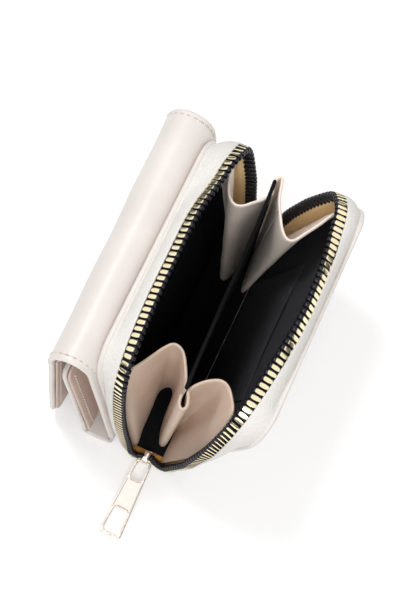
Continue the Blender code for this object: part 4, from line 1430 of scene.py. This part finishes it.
# The flap's leather runs this far up into the spine's rim
FLAP_RISE = 1.2 * MM


def flap_point(across, up):
    """A point across the flap's frame, in X and Z."""
    return leaning_point(FLAP_TOP, FLAP_LEAN, across, up)


def flap():
    """The front flap: its cover, the panel on its inner side and two card pockets on that."""
    length = TRIFOLD_LENGTH / 2
    profile = graded(flap_point(COVER_HALF, FLAP_RISE), flap_point(COVER_HALF, -FLAP_HEIGHT), 20)
    leather_panel("flap_leather", profile, length, COVER_HALF, COVER, "flap", ("flap_cover",),
                  corner=FLAP_CORNER, wave=0.35 * MM, taper=True)
    start = 2 * COVER_HALF + LAYER_GAP
    across = start + 0.5 * MM
    profile = graded(flap_point(across, -1.2 * MM),
                     flap_point(across, PANEL_INSET - FLAP_HEIGHT), 18)
    leather_panel("flap_inner_panel", profile, length - PANEL_INSET, 0.48 * MM, INNER, "flap",
                  ("flap_card_panel",), corner=FLAP_CORNER - PANEL_INSET, wave=0.15 * MM,
                  taper=True)
    for k in range(2):
        across = start + 1.3 * MM + k * POCKET_STEP + POCKET_HALF_THICKNESS
        top = -17.0 * MM - POCKET_DROP * k
        profile = line_between(flap_point(across, top), flap_point(across, -71.7 * MM), 10)
        leather_panel("flap_pocket_" + str(k + 1), profile, length - 11.0 * MM,
                      POCKET_HALF_THICKNESS, INNER, "flap", ("flap_card_slot_" + str(k + 1),),
                      wave=0.1 * MM, taper=True)
    side = (flap_point(MM, 0) - flap_point(0, 0)).normalized()
    high, low = -4.0 * MM, -64.0 * MM
    for label, end in ENDS.items():
        y = TRIFOLD_SHIFT + end * (length - 4.4 * MM)
        points = line_between(flap_point(0.0, high), flap_point(0.0, low), 20)
        stitch_row("flap_stitches_" + label, tapered(points, y), [-side] * 21, "flap")
        across = start + MM
        points = line_between(flap_point(across, high), flap_point(across, low), 20)
        stitch_row("flap_inner_stitches_" + label, tapered(points, y), [side] * 21, "flap",
                   PALE_THREAD)


# Studio

CAMERA_PLACE = Vector((97.72, -215.6, 631.19)) * MM
CAMERA_AZIMUTH = math.radians(24.13)
CAMERA_ELEVATION = math.radians(67.99)
SENSOR_WIDTH = 36.0
FOCAL_LENGTH = 1524.39 * SENSOR_WIDTH / 601.0


def camera():
    """The photo's camera, as it was solved from the walls' outline and the zip."""
    flat = math.cos(CAMERA_ELEVATION)
    back = Vector((math.sin(CAMERA_AZIMUTH) * flat, -math.cos(CAMERA_AZIMUTH) * flat,
                   math.sin(CAMERA_ELEVATION)))
    right = Vector((math.cos(CAMERA_AZIMUTH), math.sin(CAMERA_AZIMUTH), 0.0))
    turn = Matrix((right, back.cross(right), back)).transposed().to_4x4()
    data = bpy.data.cameras.new("camera")
    data.sensor_width = SENSOR_WIDTH
    data.lens = FOCAL_LENGTH
    data.clip_start = 0.01
    data.clip_end = 20.0
    item = bpy.data.objects.new("camera", data)
    bpy.context.scene.collection.objects.link(item)
    item.matrix_world = Matrix.Translation(CAMERA_PLACE) @ turn
    bpy.context.scene.camera = item


SKY_STRENGTH = 0.58
FLOOR_COLOUR = (0.80, 0.80, 0.80, 1.0)
FLOOR_GLOW = 0.295
FLOOR_REACH = 3.0
WHITE = (1.0, 1.0, 1.0)
# Grey levels that metal mirrors, from the horizon to the zenith
MIRRORED_SKY = ((0.0, 0.05), (0.2, 0.25), (0.34, 1.7), (1.0, 1.72))
# Place and size in metres, and power in watts
LAMPS = {"key_light": ((-0.36, 0.24, 1.12), 0.34, 4.8),
         "front_light": ((0.3, -0.66, 0.88), 0.6, 4.0)}


def paper():
    """White paper that is seen white by the camera and in metal, and takes shadows."""
    material = bpy.data.materials.new("studio_paper")
    material.use_nodes = True
    nodes, links = material.node_tree.nodes, material.node_tree.links
    nodes.clear()
    output = nodes.new("ShaderNodeOutputMaterial")
    diffuse = nodes.new("ShaderNodeBsdfDiffuse")
    diffuse.inputs["Color"].default_value = FLOOR_COLOUR
    glow = nodes.new("ShaderNodeEmission")
    light_path = nodes.new("ShaderNodeLightPath")
    seen = add_math(nodes, links, "MAXIMUM", light_path.outputs["Is Camera Ray"],
                    light_path.outputs["Is Glossy Ray"])
    strength = add_math(nodes, links, "MULTIPLY", seen, FLOOR_GLOW)
    links.new(strength, glow.inputs["Strength"])
    both = nodes.new("ShaderNodeAddShader")
    links.new(diffuse.outputs[0], both.inputs[0])
    links.new(glow.outputs[0], both.inputs[1])
    links.new(both.outputs[0], output.inputs["Surface"])
    return material


def studio_floor():
    """The paper that the holder stands on."""
    bm = bmesh.new()
    corners = [bm.verts.new((x * FLOOR_REACH, y * FLOOR_REACH, 0.0))
               for x, y in ((-1, -1), (1, -1), (1, 1), (-1, 1))]
    bm.faces.new(corners)
    mesh = bpy.data.meshes.new("floor")
    bm.to_mesh(mesh)
    bm.free()
    floor = bpy.data.objects.new("studio_floor", mesh)
    bpy.context.scene.collection.objects.link(floor)
    mesh.materials.append(paper())


def studio_world():
    """An even sky that is white to the camera, and in metal darkens towards the horizon."""
    world = bpy.data.worlds.new("studio_world")
    bpy.context.scene.world = world
    world.use_nodes = True
    nodes, links = world.node_tree.nodes, world.node_tree.links
    background = nodes["Background"]
    direction = nodes.new("ShaderNodeTexCoord")
    split = nodes.new("ShaderNodeSeparateXYZ")
    links.new(direction.outputs["Generated"], split.inputs[0])
    sky = add_ramp(nodes, links, split.outputs["Z"],
                   [(height, (level, level, level)) for height, level in MIRRORED_SKY])
    light_path = nodes.new("ShaderNodeLightPath")
    mirrored = add_mix(nodes, links, light_path.outputs["Is Glossy Ray"], WHITE, sky)
    backdrop = tuple(level / SKY_STRENGTH for level in WHITE)
    seen = add_mix(nodes, links, light_path.outputs["Is Camera Ray"], mirrored, backdrop)
    links.new(seen, background.inputs["Color"])
    background.inputs["Strength"].default_value = SKY_STRENGTH


def studio_lamps():
    """A small lamp high at the back left and a broad one in front, both aimed at the holder."""
    for name, (place, size, energy) in LAMPS.items():
        data = bpy.data.lights.new(name, "AREA")
        data.shape = "DISK"
        data.size = size
        data.energy = energy
        lamp = bpy.data.objects.new(name, data)
        bpy.context.scene.collection.objects.link(lamp)
        lamp.location = place
        lamp.rotation_euler = Vector(place).to_track_quat("Z", "Y").to_euler()


camera()
studio_floor()
studio_world()
studio_lamps()
bpy.context.scene.view_settings.view_transform = "Standard"
floor_pieces()
for label, hand in (("left", LEFT), ("right", RIGHT)):
    wall(label, hand)
    lining(label, hand)
    slip_pocket(label, hand)
    band_and_backing(label, hand)
    teeth(label, hand)
    coil_loops(label, hand)
    tape(label, hand)
    stops(label, hand)
for label, end in ENDS.items():
    gusset(label, end)
divider()
slider()
pull()
spine()
back_panel()
bottom_fold()
leaf()
flap()
